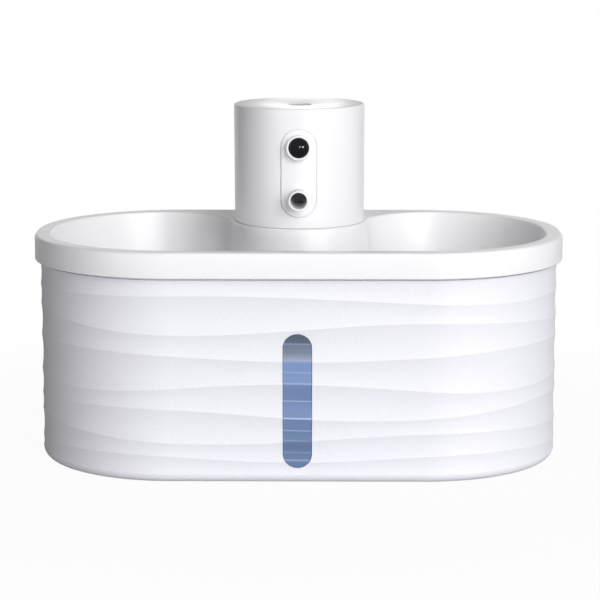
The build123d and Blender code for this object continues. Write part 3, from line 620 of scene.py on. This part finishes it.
def make_tower(columns=104, port_columns=12):
    """Turned wall with a dished top, open at the plate in front and at the charge port behind.

    Its section goes up the outside, over the top, down the inside and round the foot. At a height the
    columns of one half share the angle from the plate's opening to the port evenly, and the other half
    is its mirror image."""
    ends = np.linspace(0, np.pi / 2, 19)
    plate_arc = plate_run + plate_radius * np.sin(ends)
    heights = np.concatenate([
        plate_z - plate_arc, np.linspace(-plate_run, plate_run, 24)[1:-1] + plate_z, plate_z + plate_arc,
        port_z + port_half[1] * np.array([-1, 1]), wall_rows,
    ])
    heights = np.unique(np.round(heights, 4))
    start, end = wall_rows[0], wall_rows[-1]
    top = soften(
        [(tower_radius(end), end, 0), (tower_radii[1], tower_top, top_edges[0]),
         (dish_radius, tower_top, top_edges[1]), (key_hole, dish_low, top_edges[2]),
         (key_hole, tower_ceiling, 0), (ceiling_bore, tower_ceiling, 0), (ceiling_bore, end, 0)], 6,
    )[1:-1]
    foot = soften(
        [(foot_bore, start, 0), (foot_bore, tower_low, foot_edges[0]),
         (tower_radius(tower_low), tower_low, foot_edges[1]), (tower_radius(start), start, 0)], 4,
    )[1:-1]
    outside = tower_radius(heights)
    radius = np.concatenate([outside, top[:, 0], outside[::-1] - tower_wall, foot[:, 0]])[:, None]
    z = np.concatenate([heights, top[:, 1], heights[::-1], foot[:, 1]])[:, None]
    count, over = len(heights), len(heights) + len(top)
    width = slot_half(z, plate_radius, plate_run, plate_z)
    width[count:over] = 0
    width[over + count:] = 0
    opening = np.arcsin(width / radius)
    port = math.pi - math.asin(port_half[0] / tower_radius(port_z))
    share = np.linspace(0, 1, columns + 1)
    behind = np.broadcast_to(np.linspace(port, np.pi, port_columns + 1)[1:], (len(z), port_columns))
    angle = np.concatenate([opening * (1 - share) + port * share, behind], 1)
    half = np.stack(
        [radius * np.sin(angle), tower_y - radius * np.cos(angle), np.broadcast_to(z, angle.shape)], -1
    )
    half = np.concatenate([half, half[:1]])
    low, high = (int(np.argmin(abs(heights - port_z - edge))) for edge in (-port_half[1], port_half[1]))
    inner_low, inner_high = (over + count - 1 - row for row in (low, high))
    plate_rows = np.flatnonzero(abs(heights - plate_z) < plate_run + plate_radius + row_room)
    behind = half[:, columns:]
    cells = [
        half[:, : columns + 1],
        np.concatenate([behind[inner_low:], behind[1 : low + 1]]),
        behind[high : inner_high + 1],
        np.stack([half[plate_rows, 0], half[over + count - 1 - plate_rows, 0]]),
    ]
    patches = [grid_patch(cell * np.array([side, 1, 1])) for side in (1, -1) for cell in cells]
    turn = np.linspace(0, 2 * np.pi, 48, endpoint=False)
    across = mouth_radius * np.cos(turn) + mouth_run * np.sign(np.cos(turn))
    mouth = np.column_stack([across, port_z + mouth_radius * np.sin(turn)])
    inside = port_plane - port_wall
    for rows, plane in ((range(low, high + 1), port_plane), (range(inner_low, inner_high - 1, -1), inside)):
        rows = list(rows)
        right = np.concatenate([behind[rows[0], :0:-1], behind[rows, 0], behind[rows[-1], 1:]])
        edge = np.concatenate([right, right[-2:0:-1] * np.array([-1, 1, 1])])
        flat = edge.copy()
        flat[:, 1] = plane
        patches.append(grid_patch(np.stack([edge, flat]), wrap=True))
        patches.append(fill_patch([flat[:, [0, 2]], mouth], upright(plane)))
    patches.append(sleeve(mouth, upright(port_plane), upright(inside)))
    return make_piece("tower_wall", patches)


def plate_half(side, hole_z, hole):
    """Half of the plate round one hole: rows from the hole's circle to the plate's edge and middle line."""
    reach = plate_radius - plate_gap - plate_edge
    across = np.linspace(-reach, reach, plate_steps + 1)
    rise = np.linspace(0, plate_run, plate_steps + 1)[1:]
    turn = np.linspace(0, np.pi, plate_turns + 1)[1:]
    middle = np.column_stack([across, np.zeros_like(across)])
    right = np.column_stack([np.full_like(rise, reach), rise])
    arc = np.column_stack([reach * np.cos(turn), plate_run + reach * np.sin(turn)])
    left = right[-2::-1] * np.array([-1, 1])
    border = np.concatenate([middle, right, arc, left]) * np.array([1, side]) + np.array([0, plate_z])
    centre = np.array([0, hole_z])
    away = border - centre
    start = centre + hole * away / np.linalg.norm(away, axis=1, keepdims=True)
    share = np.linspace(0, 1, 9)[:, None, None]
    return start * (1 - share) + border * share


def on_tower(flat, proud):
    """Places on the tower's front for flat x and z: the circle of the tower there, grown by proud."""
    x, z = flat[..., 0], flat[..., 1]
    return np.stack([x, tower_y - np.sqrt((tower_radius(z) + proud) ** 2 - x**2), z], -1)


def make_plate():
    """Curved capsule plate with a rounded edge and holes for the sensor and the spout."""
    patches = []
    for side, hole_z, hole in ((1, sensor_z, sensor_hole), (-1, spout_z, spout_radius - spout_lap)):
        flat = plate_half(side, hole_z, hole)
        bore = np.stack([on_tower(flat[0], plate_proud), on_tower(flat[0], -plate_sink)])
        grids = (on_tower(flat, plate_proud), bore, on_tower(flat[[0, -1]], -plate_sink))
        patches += [grid_patch(grid, wrap=True) for grid in grids]
    arc = np.linspace(0, np.pi / 2, 6)
    edge, rim = plate_radius - plate_gap, plate_radius - groove_rim
    reach = np.append(edge - plate_edge * (1 - np.sin(arc)), [edge, rim, rim, edge - plate_edge])
    depths = [-groove_depth, -groove_depth, -plate_sink, -plate_sink]
    proud = np.append(plate_proud - plate_edge * (1 - np.cos(arc)), depths)
    flat = round_capsule(reach[:, None], plate_z, plate_run, 2 * plate_steps, plate_turns)
    patches.append(grid_patch(on_tower(np.stack(flat, -1), proud[:, None]), wrap=True))
    return make_piece("front_plate", patches)


def make_collar():
    """Turned ring round the lens, with a rounded rim."""
    return make_piece("lens_collar", [turned(soften(collar_profile, 6), (0, 0, sensor_z), False)])


def make_lens():
    """Turned lens: a shallow dome, a rounded edge and a flat back."""
    profile = np.concatenate([domed(lens_profile[0], lens_bulge, 14), soften(lens_profile, 6)[1:]])
    return make_piece("lens_dome", [turned(profile, (0, 0, sensor_z), False)])


def make_spout():
    """Bent tube: circles along a level run, a quarter bend and a leg down, outside and back inside."""
    turn = np.linspace(0, np.pi / 2, 13)
    curve = np.column_stack([
        leg_y - spout_bend * (1 - np.sin(turn)), spout_z - spout_bend * (1 - np.cos(turn)),
    ])
    mouth = soften(
        [(spout_bore, spout_lip, 0), (spout_bore, 0, spout_edges[0]), (spout_radius, 0, spout_edges[1]),
         (spout_radius, spout_lip, 0)], 5,
    )
    lip = np.column_stack([spout_front + mouth[:, 1], np.full(len(mouth), spout_z)])
    leg = np.array([(leg_y, leg_step), (leg_y, leg_step), (leg_y, leg_low), (leg_y, leg_low)])
    line = np.concatenate([lip, curve, leg, curve[::-1], lip[:1]])
    radius = np.concatenate([
        mouth[:, 0], np.full_like(turn, spout_radius), [spout_radius, leg_radius, leg_radius, leg_bore],
        np.full_like(turn, spout_bore), mouth[:1, 0],
    ])[:, None]
    quarter = np.full(len(leg), np.pi / 2)
    tilt = np.concatenate([np.zeros(len(lip)), turn, quarter, turn[::-1], [0.0]])[:, None]
    circle = np.linspace(0, 2 * np.pi, 72, endpoint=False)
    lift = radius * np.sin(circle)
    places = (radius * np.cos(circle), line[:, :1] + lift * np.sin(tilt), line[:, 1:] + lift * np.cos(tilt))
    return make_piece("spout_tube", [grid_patch(np.stack(places, -1), wrap=True)])


def make_key():
    """Turned key with a slightly hollow top and the flange that keeps it in."""
    profile = np.concatenate([domed(key_profile[0], key_hollow, 8), soften(key_profile, 6)[1:]])
    return make_piece("key_cap", [turned(profile, (0, tower_y, 0))])


# Finishes, in metres

# Tone of the window by share of its height: blue up to the water line, grey over it. The lighter and darker
# bands, and the dark top, are painted light and shade
window_ends = (0.009, 0.0762)
window_blue_painted_bands = (
    (0.0, 0.8), (0.06, 0.75), (0.16, 0.66), (0.24, 0.78), (0.33, 0.92), (0.43, 1.05), (0.56, 0.92),
    (0.66, 1.15), (0.79, 1.35),
)
window_grey_painted_bands = ((0.8, 1.25), (0.86, 0.62), (0.92, 0.55), (0.935, 0.32), (1.0, 0.3))
window_grey = (0.27, 0.31, 0.4)
# Height and strength of each painted glint, how they fall to the right, and where they start and end to fade
window_glints = (
    (0.071, 0.25), (0.0569, 0.3), (0.0514, 0.45), (0.0425, 0.45), (0.034, 1.0), (0.0278, 0.4),
    (0.0228, 0.2), (0.0168, 0.2), (0.013, 0.35),
)
glint_slope = 0.02
glint_fade = (0.0001, 0.0006)
glint_colour = (0.5, 0.62, 0.85, 1.0)
# Place across and strength of each painted highlight on the lens, their height over its middle, and their
# fade
lens_highlight_spots = ((0.0022, 1.0), (0.0006, 0.5))
highlight_height = 0.0006
highlight_fade = (0.0002, 0.0006)
highlight_colour = (0.7, 0.71, 0.74, 1.0)
lens_rim = (0.0038, 0.0046)
ring_waves = 24000.0
tin_colour = (0.62, 0.6, 0.55, 1.0)
film_seam = 0.003


def maths(operation, swapped=False):
    """A method of Value that adds a Math node, with its two numbers swapped where asked."""

    def method(self, other=0.0):
        first, second = (other, self) if swapped else (self, other)
        node = self.paint.node("Math", {0: first, 1: second}, operation=operation)
        return Value(self.paint, node.outputs[0])

    return method


class Value:
    """A number that varies over a surface. Its operators add Math nodes to the paint that it belongs to."""

    def __init__(self, paint, socket):
        self.paint = paint
        self.socket = socket

    __add__ = __radd__ = maths("ADD")
    __mul__ = __rmul__ = maths("MULTIPLY")
    __sub__ = maths("SUBTRACT")
    __rsub__ = maths("SUBTRACT", True)
    __pow__ = maths("POWER")
    __lt__ = maths("LESS_THAN")
    sine = maths("SINE")


class Paint:
    """A finish or the world. Its nodes are added as it is described, on the piece's own place in metres."""

    def __init__(self, name, colour=None, kind="materials"):
        self.block = getattr(bpy.data, kind).new(name)
        self.block.use_nodes = True
        self.tree = self.block.node_tree
        self.tree.nodes.clear()
        self.colour = colour
        self.place = self.node("TexCoord").outputs["Object"]

    def node(self, kind, sockets=None, stops=(), **settings):
        """Adds a node of a kind with its settings and stops, then the values or links of its sockets."""
        made = self.tree.nodes.new("ShaderNode" + kind)
        for key, value in settings.items():
            setattr(made, key, value)
        if stops:
            row = made.color_ramp.elements
            while len(row) < len(stops):
                row.new(1.0)
            for element, (position, colour) in zip(row, stops):
                element.position = position
                element.color = colour
        for key, value in (sockets or {}).items():
            value = getattr(value, "socket", value)
            if isinstance(value, bpy.types.Node):
                value = value.outputs[0]
            if isinstance(value, bpy.types.NodeSocket):
                self.tree.links.new(value, made.inputs[key])
            else:
                made.inputs[key].default_value = value
        return made

    def axis(self, index):
        """One coordinate."""
        return Value(self, self.node("SeparateXYZ", {0: self.place}).outputs[index])

    def stretched(self, scale):
        """Coordinates scaled unevenly."""
        return self.node("Mapping", {"Vector": self.place, "Scale": scale}).outputs[0]

    def noise(self, scale, detail=2.0, place=None):
        """Soft noise, about 0.5 on average."""
        sockets = {"Vector": place or self.place, "Scale": scale, "Detail": detail}
        return Value(self, self.node("TexNoise", sockets).outputs["Fac"])

    def cells(self, scale, feature="F1"):
        """Distance to the nearest of many scattered points, or to the edge between two."""
        made = self.node("TexVoronoi", {"Vector": self.place, "Scale": scale}, feature=feature)
        return Value(self, made.outputs["Distance"])

    def fade(self, value, low, high):
        """0 below low, 1 above high and a soft step between."""
        sockets = {"Value": value, "From Min": low, "From Max": high}
        return Value(self, self.node("MapRange", sockets, interpolation_type="SMOOTHSTEP").outputs[0])

    def blend(self, share, first, second):
        """Colour between two others."""
        return self.node("Mix", {0: share, 6: first, 7: second}, data_type="RGBA").outputs[2]

    def tones(self, share, first, second):
        """Colour between two tones of the paint's own."""
        return self.blend(share, toned(self.colour, first), toned(self.colour, second))

    def relief(self, height, depth, strength):
        """Normal of a surface raised by a height times a depth."""
        return self.node("Bump", {"Height": height, "Distance": depth, "Strength": strength}).outputs[0]

    def finish(self, colour, roughness, normal=None, **more):
        """Joins the shader to the output. Names use underscores for spaces."""
        sockets = {"Base Color": colour, "Roughness": roughness}
        if normal:
            sockets["Normal"] = normal
        sockets.update((key.replace("_", " "), value) for key, value in more.items())
        self.node("OutputMaterial", {0: self.node("BsdfPrincipled", sockets)})


def toned(colour, share):
    """A colour made lighter or darker: each part times a share, up to 1."""
    return (*[min(part * share, 1.0) for part in colour[:3]], 1.0)


def distance(first, second):
    """Distance by its two parts: the root of the sum of their squares."""
    return (first * first + second * second) ** 0.5


def gloss_moulding(paint):
    """Glossy moulded plastic: slow cloudy tone, and a faint orange peel that breaks up the gloss."""
    peel = paint.noise(700.0, 3.0)
    paint.finish(
        paint.tones(paint.noise(16.0), 0.975, 1.02), 0.29 + 0.1 * peel, paint.relief(peel, 2e-5, 0.15),
        Coat_Weight=0.06, Coat_Roughness=0.12,
    )


def grained_moulding(paint):
    """Matte moulded plastic with a fine spark-eroded grain."""
    grain = paint.noise(2100.0, 3.0)
    bumps = grain + 0.6 * paint.noise(900.0, 1.0)
    tone = paint.tones(paint.fade(grain, 0.3, 0.7), 0.955, 1.03)
    paint.finish(tone, 0.46 + 0.2 * grain, paint.relief(bumps, 6e-5, 0.45))


def plain_moulding(paint):
    """Satin moulded plastic with slow flow marks."""
    flow = paint.noise(60.0, 3.0, paint.stretched((1.0, 1.0, 0.25)))
    grain = paint.noise(1500.0)
    paint.finish(paint.tones(flow, 0.9, 1.08), 0.34 + 0.2 * grain, paint.relief(grain, 4e-5, 0.3))


def window_plastic(paint):
    """Clear tinted plastic: grey over the water line, blue below it, with painted bands of light and shade,
    painted sheen streaks and thin painted glints along its flutes.
    """
    x, z = paint.axis(0), paint.axis(2)
    sockets = {"Value": z, "From Min": window_ends[0], "From Max": window_ends[1]}
    rise = paint.node("MapRange", sockets)
    # The lighter and darker bands in these stops are painted light and shade; the step from blue to grey is
    # the water line
    stops = [(place, toned(paint.colour, share)) for place, share in window_blue_painted_bands]
    stops += [(place, toned(window_grey, share)) for place, share in window_grey_painted_bands]
    # Thin lines of glint_colour along the flutes: painted glints
    painted_glints = 0.0
    for height, strength in window_glints:
        off = z - (height - glint_slope * x)
        painted_glints = painted_glints + strength * (1.0 - paint.fade((off * off) ** 0.5, *glint_fade))
    # Soft horizontal streaks: a painted sheen in the tone, which also changes the roughness
    sheen_streak = paint.noise(300.0, 4.0, paint.stretched((0.03, 0.03, 1.0)))
    ramp = paint.node("ValToRGB", {0: rise}, stops).outputs[0]
    tone = paint.blend(0.25 * sheen_streak, ramp, toned(paint.colour, 1.8))
    paint.finish(
        paint.blend(painted_glints, tone, glint_colour), 0.1 + 0.1 * sheen_streak, Transmission_Weight=0.1, IOR=1.49
    )


def lens_glass(paint):
    """Dark polished lens, with two small pale spots painted on it as highlights."""
    x, z = paint.axis(0), paint.axis(2) - sensor_z * metre
    highlights = 0.0
    # Two pale spots painted on the lens as highlights
    for across, strength in lens_highlight_spots:
        highlights = highlights + strength * (1.0 - paint.fade(distance(x - across, z - highlight_height), *highlight_fade))
    dark = paint.tones(paint.fade(distance(x, z), *lens_rim), 1.0, 2.5)
    roughness = 0.04 + 0.05 * paint.noise(500.0)
    paint.finish(paint.blend(highlights, dark, highlight_colour), roughness, Specular_IOR_Level=0.12)


def turned_satin(paint):
    """Satin key with fine turned rings about the tower's axis."""
    rings = (distance(paint.axis(0), paint.axis(1) - tower_y * metre) * ring_waves).sine()
    tone = paint.tones(paint.noise(300.0), 0.9, 1.1)
    paint.finish(tone, 0.36 + 0.06 * rings, paint.relief(rings, 6e-6, 0.5))


def soft_rubber(paint):
    """Dull rubber with a fine bloom."""
    bloom = paint.noise(1300.0, 4.0)
    paint.finish(paint.tones(bloom, 0.8, 1.15), 0.62 + 0.25 * bloom, paint.relief(bloom, 5e-5, 0.5))


def open_foam(paint):
    """Open foam: dark pores between bright strands."""
    strand = paint.fade(paint.cells(900.0), 0.25, 0.6)
    paint.finish(paint.tones(strand, 0.3, 1.1), 0.85 + 0.1 * strand, paint.relief(strand, 4e-4, 0.9))


def carbon_grain(paint):
    """Pressed carbon grains, some of them glinting."""
    glint = paint.fade(paint.noise(1100.0, 1.0), 0.55, 0.7)
    grains = paint.relief(paint.cells(1400.0), 3e-4, 0.8)
    paint.finish(paint.tones(glint, 0.5, 2.4), 0.8 - 0.4 * glint, grains)


def board_lacquer(paint):
    """Green lacquer over copper tracks, with bare tinned spots."""
    track = paint.fade(paint.cells(420.0, "DISTANCE_TO_EDGE"), 0.06, 0.1)
    spot = paint.cells(300.0) < 0.14
    tone = paint.blend(spot, paint.tones(track, 2.2, 0.9), tin_colour)
    paint.finish(tone, 0.3 + 0.12 * track, paint.relief(1.0 - track, 4e-5, 0.6), Metallic=0.9 * spot)


def drawn_steel(paint):
    """Steel with fine drawn lines."""
    line = paint.noise(1800.0, 3.0, paint.stretched((1.0, 1.0, 0.05)))
    tone = paint.tones(line, 0.8, 1.15)
    paint.finish(tone, 0.2 + 0.25 * line, paint.relief(line, 1e-5, 0.4), Metallic=1.0)


def shrink_film(paint):
    """Shrink film pulled tight, with slight puckers and a darker seam round each end."""
    pucker = paint.noise(160.0, 3.0, paint.stretched((1.0, 1.0, 0.3)))
    z = paint.axis(2)
    low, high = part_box("battery_pack")
    ends = paint.fade(z, low.z, low.z + film_seam) * (1.0 - paint.fade(z, high.z - film_seam, high.z))
    tone = paint.blend(ends, toned(paint.colour, 0.45), paint.tones(pucker, 0.85, 1.2))
    paint.finish(tone, 0.16 + 0.12 * pucker, paint.relief(pucker, 3e-4, 0.4))


def sintered(paint):
    """Dark sintered body with metal flecks."""
    fleck = paint.fade(paint.noise(2600.0, 1.0), 0.56, 0.66)
    paint.finish(paint.tones(fleck, 0.7, 2.6), 0.55 - 0.2 * fleck, Metallic=0.3 + 0.6 * fleck)


# Each slot's finish, its colour and the pieces that have it
slots = {
    "gloss_white": (gloss_moulding, (0.86, 0.86, 0.88), "Tray, tower, plate, collar and spout"),
    "matte_white": (grained_moulding, (0.8, 0.8, 0.855), "Tank"),
    "window_blue": (window_plastic, (0.166, 0.247, 0.44), "Level window"),
    "lens_black": (lens_glass, (0.006, 0.006, 0.008), "Motion sensor's lens"),
    "button_grey": (turned_satin, (0.3, 0.3, 0.305), "Mode key"),
    "rubber_grey": (soft_rubber, (0.5, 0.5, 0.51), "Feet and port flap"),
    "seal_silicone": (soft_rubber, (0.66, 0.67, 0.68), "Seals and hose"),
    "filter_plastic": (plain_moulding, (0.66, 0.68, 0.7), "Filter cup and lid"),
    "filter_foam": (open_foam, (0.55, 0.56, 0.55), "Filter foam"),
    "carbon_black": (carbon_grain, (0.03, 0.03, 0.03), "Carbon pad"),
    "board_green": (board_lacquer, (0.02, 0.12, 0.05), "Circuit boards"),
    "switch_black": (plain_moulding, (0.03, 0.03, 0.03), "Switch and battery leads"),
    "steel": (drawn_steel, (0.6, 0.6, 0.61), "Screws, socket and sensor can"),
    "battery_film": (shrink_film, (0.06, 0.17, 0.4), "Battery film"),
    "inner_plastic": (plain_moulding, (0.74, 0.74, 0.76), "Stem and battery cradle"),
    "pump_grey": (grained_moulding, (0.1, 0.1, 0.108), "Pump and impeller"),
    "shaft_ceramic": (gloss_moulding, (0.84, 0.83, 0.8), "Pump shaft"),
    "magnet_dark": (sintered, (0.09, 0.09, 0.09), "Rotor magnet"),
    "cable_black": (soft_rubber, (0.025, 0.025, 0.025), "Pump cable"),
}


def finish_of(slot):
    """The finish of a material slot, made once, in the colour that the panel shows."""
    name = "finish_" + slot
    if name not in bpy.data.materials:
        slots[slot][0](Paint(name, getattr(bpy.context.scene.fountain_colours, slot)))
    return bpy.data.materials[name]


# Sizes and colours that a user would change


class FountainColours(bpy.types.PropertyGroup):
    """Colour of each finish."""

    __annotations__ = {
        slot: FloatVectorProperty(
            name=slot.replace("_", " ").capitalize(), description=pieces,
            subtype="COLOR", size=3, min=0.0, max=1.0, default=colour,
        )
        for slot, (_, colour, pieces) in slots.items()
    }


class FountainSizes(bpy.types.PropertyGroup):
    """Sizes of the visible relief, and the light."""

    flute_depth: FloatProperty(
        name="Flute depth", description="Depth of the hollows between two ridges of the tank",
        default=0.0009, min=0.0, max=0.002, unit="LENGTH",
    )
    ridge_swing: FloatProperty(
        name="Ridge swing", description="How far a ridge rises and falls round the tank",
        default=0.003, min=0.0, max=0.005, unit="LENGTH",
    )
    key_power: FloatProperty(
        name="Key light", description="Power of the large light at the front right",
        default=44.5, min=0.0, unit="POWER",
    )
    room_level: FloatProperty(
        name="Room light", description="Light from all round",
        default=0.245, min=0.0, max=2.0, subtype="FACTOR",
    )


# Operators


class FOUNTAIN_OT_tank(bpy.types.Operator):
    """Fluted tank with its lip round the window's slot"""

    bl_idname = "fountain.tank"
    bl_label = "Tank"

    def execute(self, context):
        dress(make_tank(), "tank_shell", "tank", "matte_white")
        dress(make_window_edge(), None, "tank", "matte_white")
        return {"FINISHED"}


class FOUNTAIN_OT_window(bpy.types.Operator):
    """Blue level window"""

    bl_idname = "fountain.window"
    bl_label = "Level window"

    def execute(self, context):
        dress(make_window(), "level_window", "tank", "window_blue")
        return {"FINISHED"}


class FOUNTAIN_OT_feet(bpy.types.Operator):
    """Rubber feet"""

    bl_idname = "fountain.feet"
    bl_label = "Feet"

    def execute(self, context):
        dress(make_feet(), "rubber_feet", "tank", "rubber_grey")
        return {"FINISHED"}


class FOUNTAIN_OT_tray(bpy.types.Operator):
    """Drinking tray"""

    bl_idname = "fountain.tray"
    bl_label = "Tray"

    def execute(self, context):
        dress(make_tray(), "drinking_tray", "tray", "gloss_white")
        return {"FINISHED"}


class FOUNTAIN_OT_tower(bpy.types.Operator):
    """Tower with its front plate"""

    bl_idname = "fountain.tower"
    bl_label = "Tower"

    def execute(self, context):
        dress(make_tower(), "tower_shell", "tower", "gloss_white")
        dress(make_plate(), "sensor_plate", "tower", "gloss_white")
        return {"FINISHED"}


class FOUNTAIN_OT_sensor(bpy.types.Operator):
    """Sensor's collar and lens"""

    bl_idname = "fountain.sensor"
    bl_label = "Sensor"

    def execute(self, context):
        dress(make_collar(), "sensor_collar", "tower", "gloss_white")
        dress(make_lens(), "sensor_lens", "tower", "lens_black")
        return {"FINISHED"}


class FOUNTAIN_OT_spout(bpy.types.Operator):
    """Water spout"""

    bl_idname = "fountain.spout"
    bl_label = "Spout"

    def execute(self, context):
        dress(make_spout(), "water_spout", "tower", "gloss_white")
        return {"FINISHED"}


class FOUNTAIN_OT_key(bpy.types.Operator):
    """Mode key in the tower's top"""

    bl_idname = "fountain.key"
    bl_label = "Mode key"

    def execute(self, context):
        dress(make_key(), "mode_button", "button", "button_grey")
        return {"FINISHED"}


class FOUNTAIN_OT_inner(bpy.types.Operator):
    """Finishes on the solids that are shown as they are"""

    bl_idname = "fountain.inner"
    bl_label = "Inner pieces"

    def execute(self, context):
        for row in frame["record"]["subparts"]:
            solid = frame["nodes"][row["node"]]
            for place in solid.material_slots:
                place.material = finish_of(row["material_slot"])
        return {"FINISHED"}


# Studio, in metres

# Each lamp's name, share of the key's power, width and height, place, aim, and whether it shows in gloss
lamps = (
    ("key", 1.0, (1.8, 1.8), (1.0, -1.8, 0.85), (0.0, 0.0, 0.09), True),
    ("fill", 0.1, (1.6, 0.2), (-1.0, -1.5, 0.11), (0.0, 0.0, 0.09), True),
    ("back_spot", 0.00255, (0.06, 0.28), (-0.004, 1.0, 0.266), (-0.004, 0.0, 0.266), True),
    ("back", 0.21, (2.6, 1.25), (0.0, 1.9, 0.64), (0.0, 0.0, 0.09), False),
)
# Each card's name, tone, width and height, place and aim
cards = (
    ("flag_left", 0.03, (1.2, 1.2), (-0.62, 0.1, 0.5), (0.0, 0.0, 0.2)),
    ("flag_right", 0.8, (0.8, 0.8), (0.65, 0.45, 0.3), (0.0, 0.0, 0.2)),
    ("strip_left", 0.4, (0.07, 0.4), (-0.075, 1.0, 0.3), (-0.075, 0.0, 0.3)),
    ("strip_right", 0.4, (0.064, 0.4), (0.063, 1.0, 0.3), (0.063, 0.0, 0.3)),
)
# The floor's share of plain white to the eye, and the radii where it goes to white there and in gloss
floor_tone = 0.55
floor_radius = 4.0
floor_white = 0.96
floor_eye = (0.16, 0.42)
floor_gloss = (0.3, 1.5)
camera_turn = math.radians(0.56)
camera_pitch = math.radians(10.196)
camera_distance = 1.151
camera_height = 0.2868
camera_lens = 135.46
camera_sensor = 36.0
camera_shift = 0.0022


def camera_white(paint, base, eye_share, gloss_share, kind="Emission"):
    """Plain white mixed over a base shader, by one share to the eye and another in gloss or glass."""
    light = paint.node("LightPath").outputs
    eye, gloss, glass = (
        Value(paint, light[f"Is {ray} Ray"]) for ray in ("Camera", "Glossy", "Transmission")
    )
    white = paint.node(kind, {"Color": (1, 1, 1, 1), "Strength": 1.0})
    factor = eye * eye_share + (gloss + glass) * gloss_share
    return paint.node("MixShader", {0: factor, 1: base, 2: white})


def grey_board(paint, tone):
    """A plain matte shader."""
    return paint.node("BsdfDiffuse", {"Color": (tone, tone, tone, 1)})


def flat_mesh(name, corners, paint, shader):
    """A mesh of one face with a shader."""
    paint.node("OutputMaterial", {0: shader})
    mesh = bpy.data.meshes.new(name)
    mesh.from_pydata(corners, [], [list(range(len(corners)))])
    mesh.materials.append(paint.block)
    return mesh


def stood(name, data, place, aim):
    """An object at a place, turned to a point and out of the camera's sight."""
    made = bpy.data.objects.new(name, data)
    made.location = place
    made.rotation_euler = (Vector(aim) - Vector(place)).to_track_quat("-Z", "Y").to_euler()
    made.visible_camera = False
    bpy.context.scene.collection.objects.link(made)
    return made


def area_light(name, power, size, place, aim, glossy):
    """An oval light, which may show in gloss."""
    lamp = bpy.data.lights.new(name, "AREA")
    lamp.shape = "ELLIPSE"
    lamp.energy = power
    lamp.size, lamp.size_y = size
    stood(name, lamp, place, aim).visible_glossy = glossy


def card(name, tone, size, place, aim):
    """A card by the object, which shows in its gloss."""
    paint = Paint(name)
    wide, high = size[0] / 2, size[1] / 2
    corners = [(-wide, -high, 0), (wide, -high, 0), (wide, high, 0), (-wide, high, 0)]
    stood(name, flat_mesh(name, corners, paint, grey_board(paint, tone)), place, aim)


class FOUNTAIN_OT_stage(bpy.types.Operator):
    """Pale floor, soft light and the camera"""

    bl_idname = "fountain.stage"
    bl_label = "Studio"

    def execute(self, context):
        scene = context.scene
        sizes = scene.fountain_sizes
        scene.view_settings.view_transform = "Standard"

        paint = Paint("floor_paper")
        reach = distance(paint.axis(0), paint.axis(1))
        eye_share = floor_white + (1.0 - floor_white) * paint.fade(reach, *floor_eye)
        gloss_share = paint.fade(reach, *floor_gloss)
        shown = camera_white(paint, grey_board(paint, floor_tone), eye_share, gloss_share)
        corners = level(0.0)(ring(floor_radius, (0.0, 0.0)))
        floor = bpy.data.objects.new("floor", flat_mesh("floor", corners, paint, shown))
        scene.collection.objects.link(floor)

        paint = Paint("room", kind="worlds")
        room = paint.node("Background", {"Color": (1, 1, 1, 1), "Strength": sizes.room_level})
        paint.node("OutputWorld", {0: camera_white(paint, room, 1.0, 1.0, "Background")})
        scene.world = paint.block

        for name, share, *rest in lamps:
            area_light(name, sizes.key_power * share, *rest)
        for row in cards:
            card(*row)

        lens = bpy.data.cameras.new("camera")
        lens.sensor_width = camera_sensor
        lens.lens = camera_lens
        lens.shift_x = camera_shift
        eye = bpy.data.objects.new("camera", lens)
        across, back = camera_distance * math.sin(camera_turn), camera_distance * math.cos(camera_turn)
        eye.location = (across, -back, camera_height)
        eye.rotation_euler = (math.pi / 2 - camera_pitch, 0.0, camera_turn)
        scene.collection.objects.link(eye)
        scene.camera = eye
        return {"FINISHED"}


steps = (
    FOUNTAIN_OT_tank, FOUNTAIN_OT_window, FOUNTAIN_OT_feet, FOUNTAIN_OT_tray, FOUNTAIN_OT_tower,
    FOUNTAIN_OT_sensor, FOUNTAIN_OT_spout, FOUNTAIN_OT_key, FOUNTAIN_OT_inner, FOUNTAIN_OT_stage,
)


class FOUNTAIN_PT_panel(bpy.types.Panel):
    """Steps, sizes and colours of the fountain"""

    bl_idname = "FOUNTAIN_PT_panel"
    bl_label = "Pet drinking fountain"
    bl_space_type = "VIEW_3D"
    bl_region_type = "UI"
    bl_category = "Fountain"

    def draw(self, context):
        for step in steps:
            self.layout.operator(step.bl_idname)
        for group in (context.scene.fountain_sizes, context.scene.fountain_colours):
            for name in group.__annotations__:
                self.layout.prop(group, name)


classes = (FountainColours, FountainSizes, *steps, FOUNTAIN_PT_panel)


def register():
    for kind in classes:
        bpy.utils.register_class(kind)
    bpy.types.Scene.fountain_colours = PointerProperty(type=FountainColours)
    bpy.types.Scene.fountain_sizes = PointerProperty(type=FountainSizes)


def unregister():
    del bpy.types.Scene.fountain_sizes
    del bpy.types.Scene.fountain_colours
    for kind in reversed(classes):
        bpy.utils.unregister_class(kind)


def main():
    register()
    for step in steps:
        group, name = step.bl_idname.split(".")
        getattr(getattr(bpy.ops, group), name)()


if __name__ == "__main__":
    main()
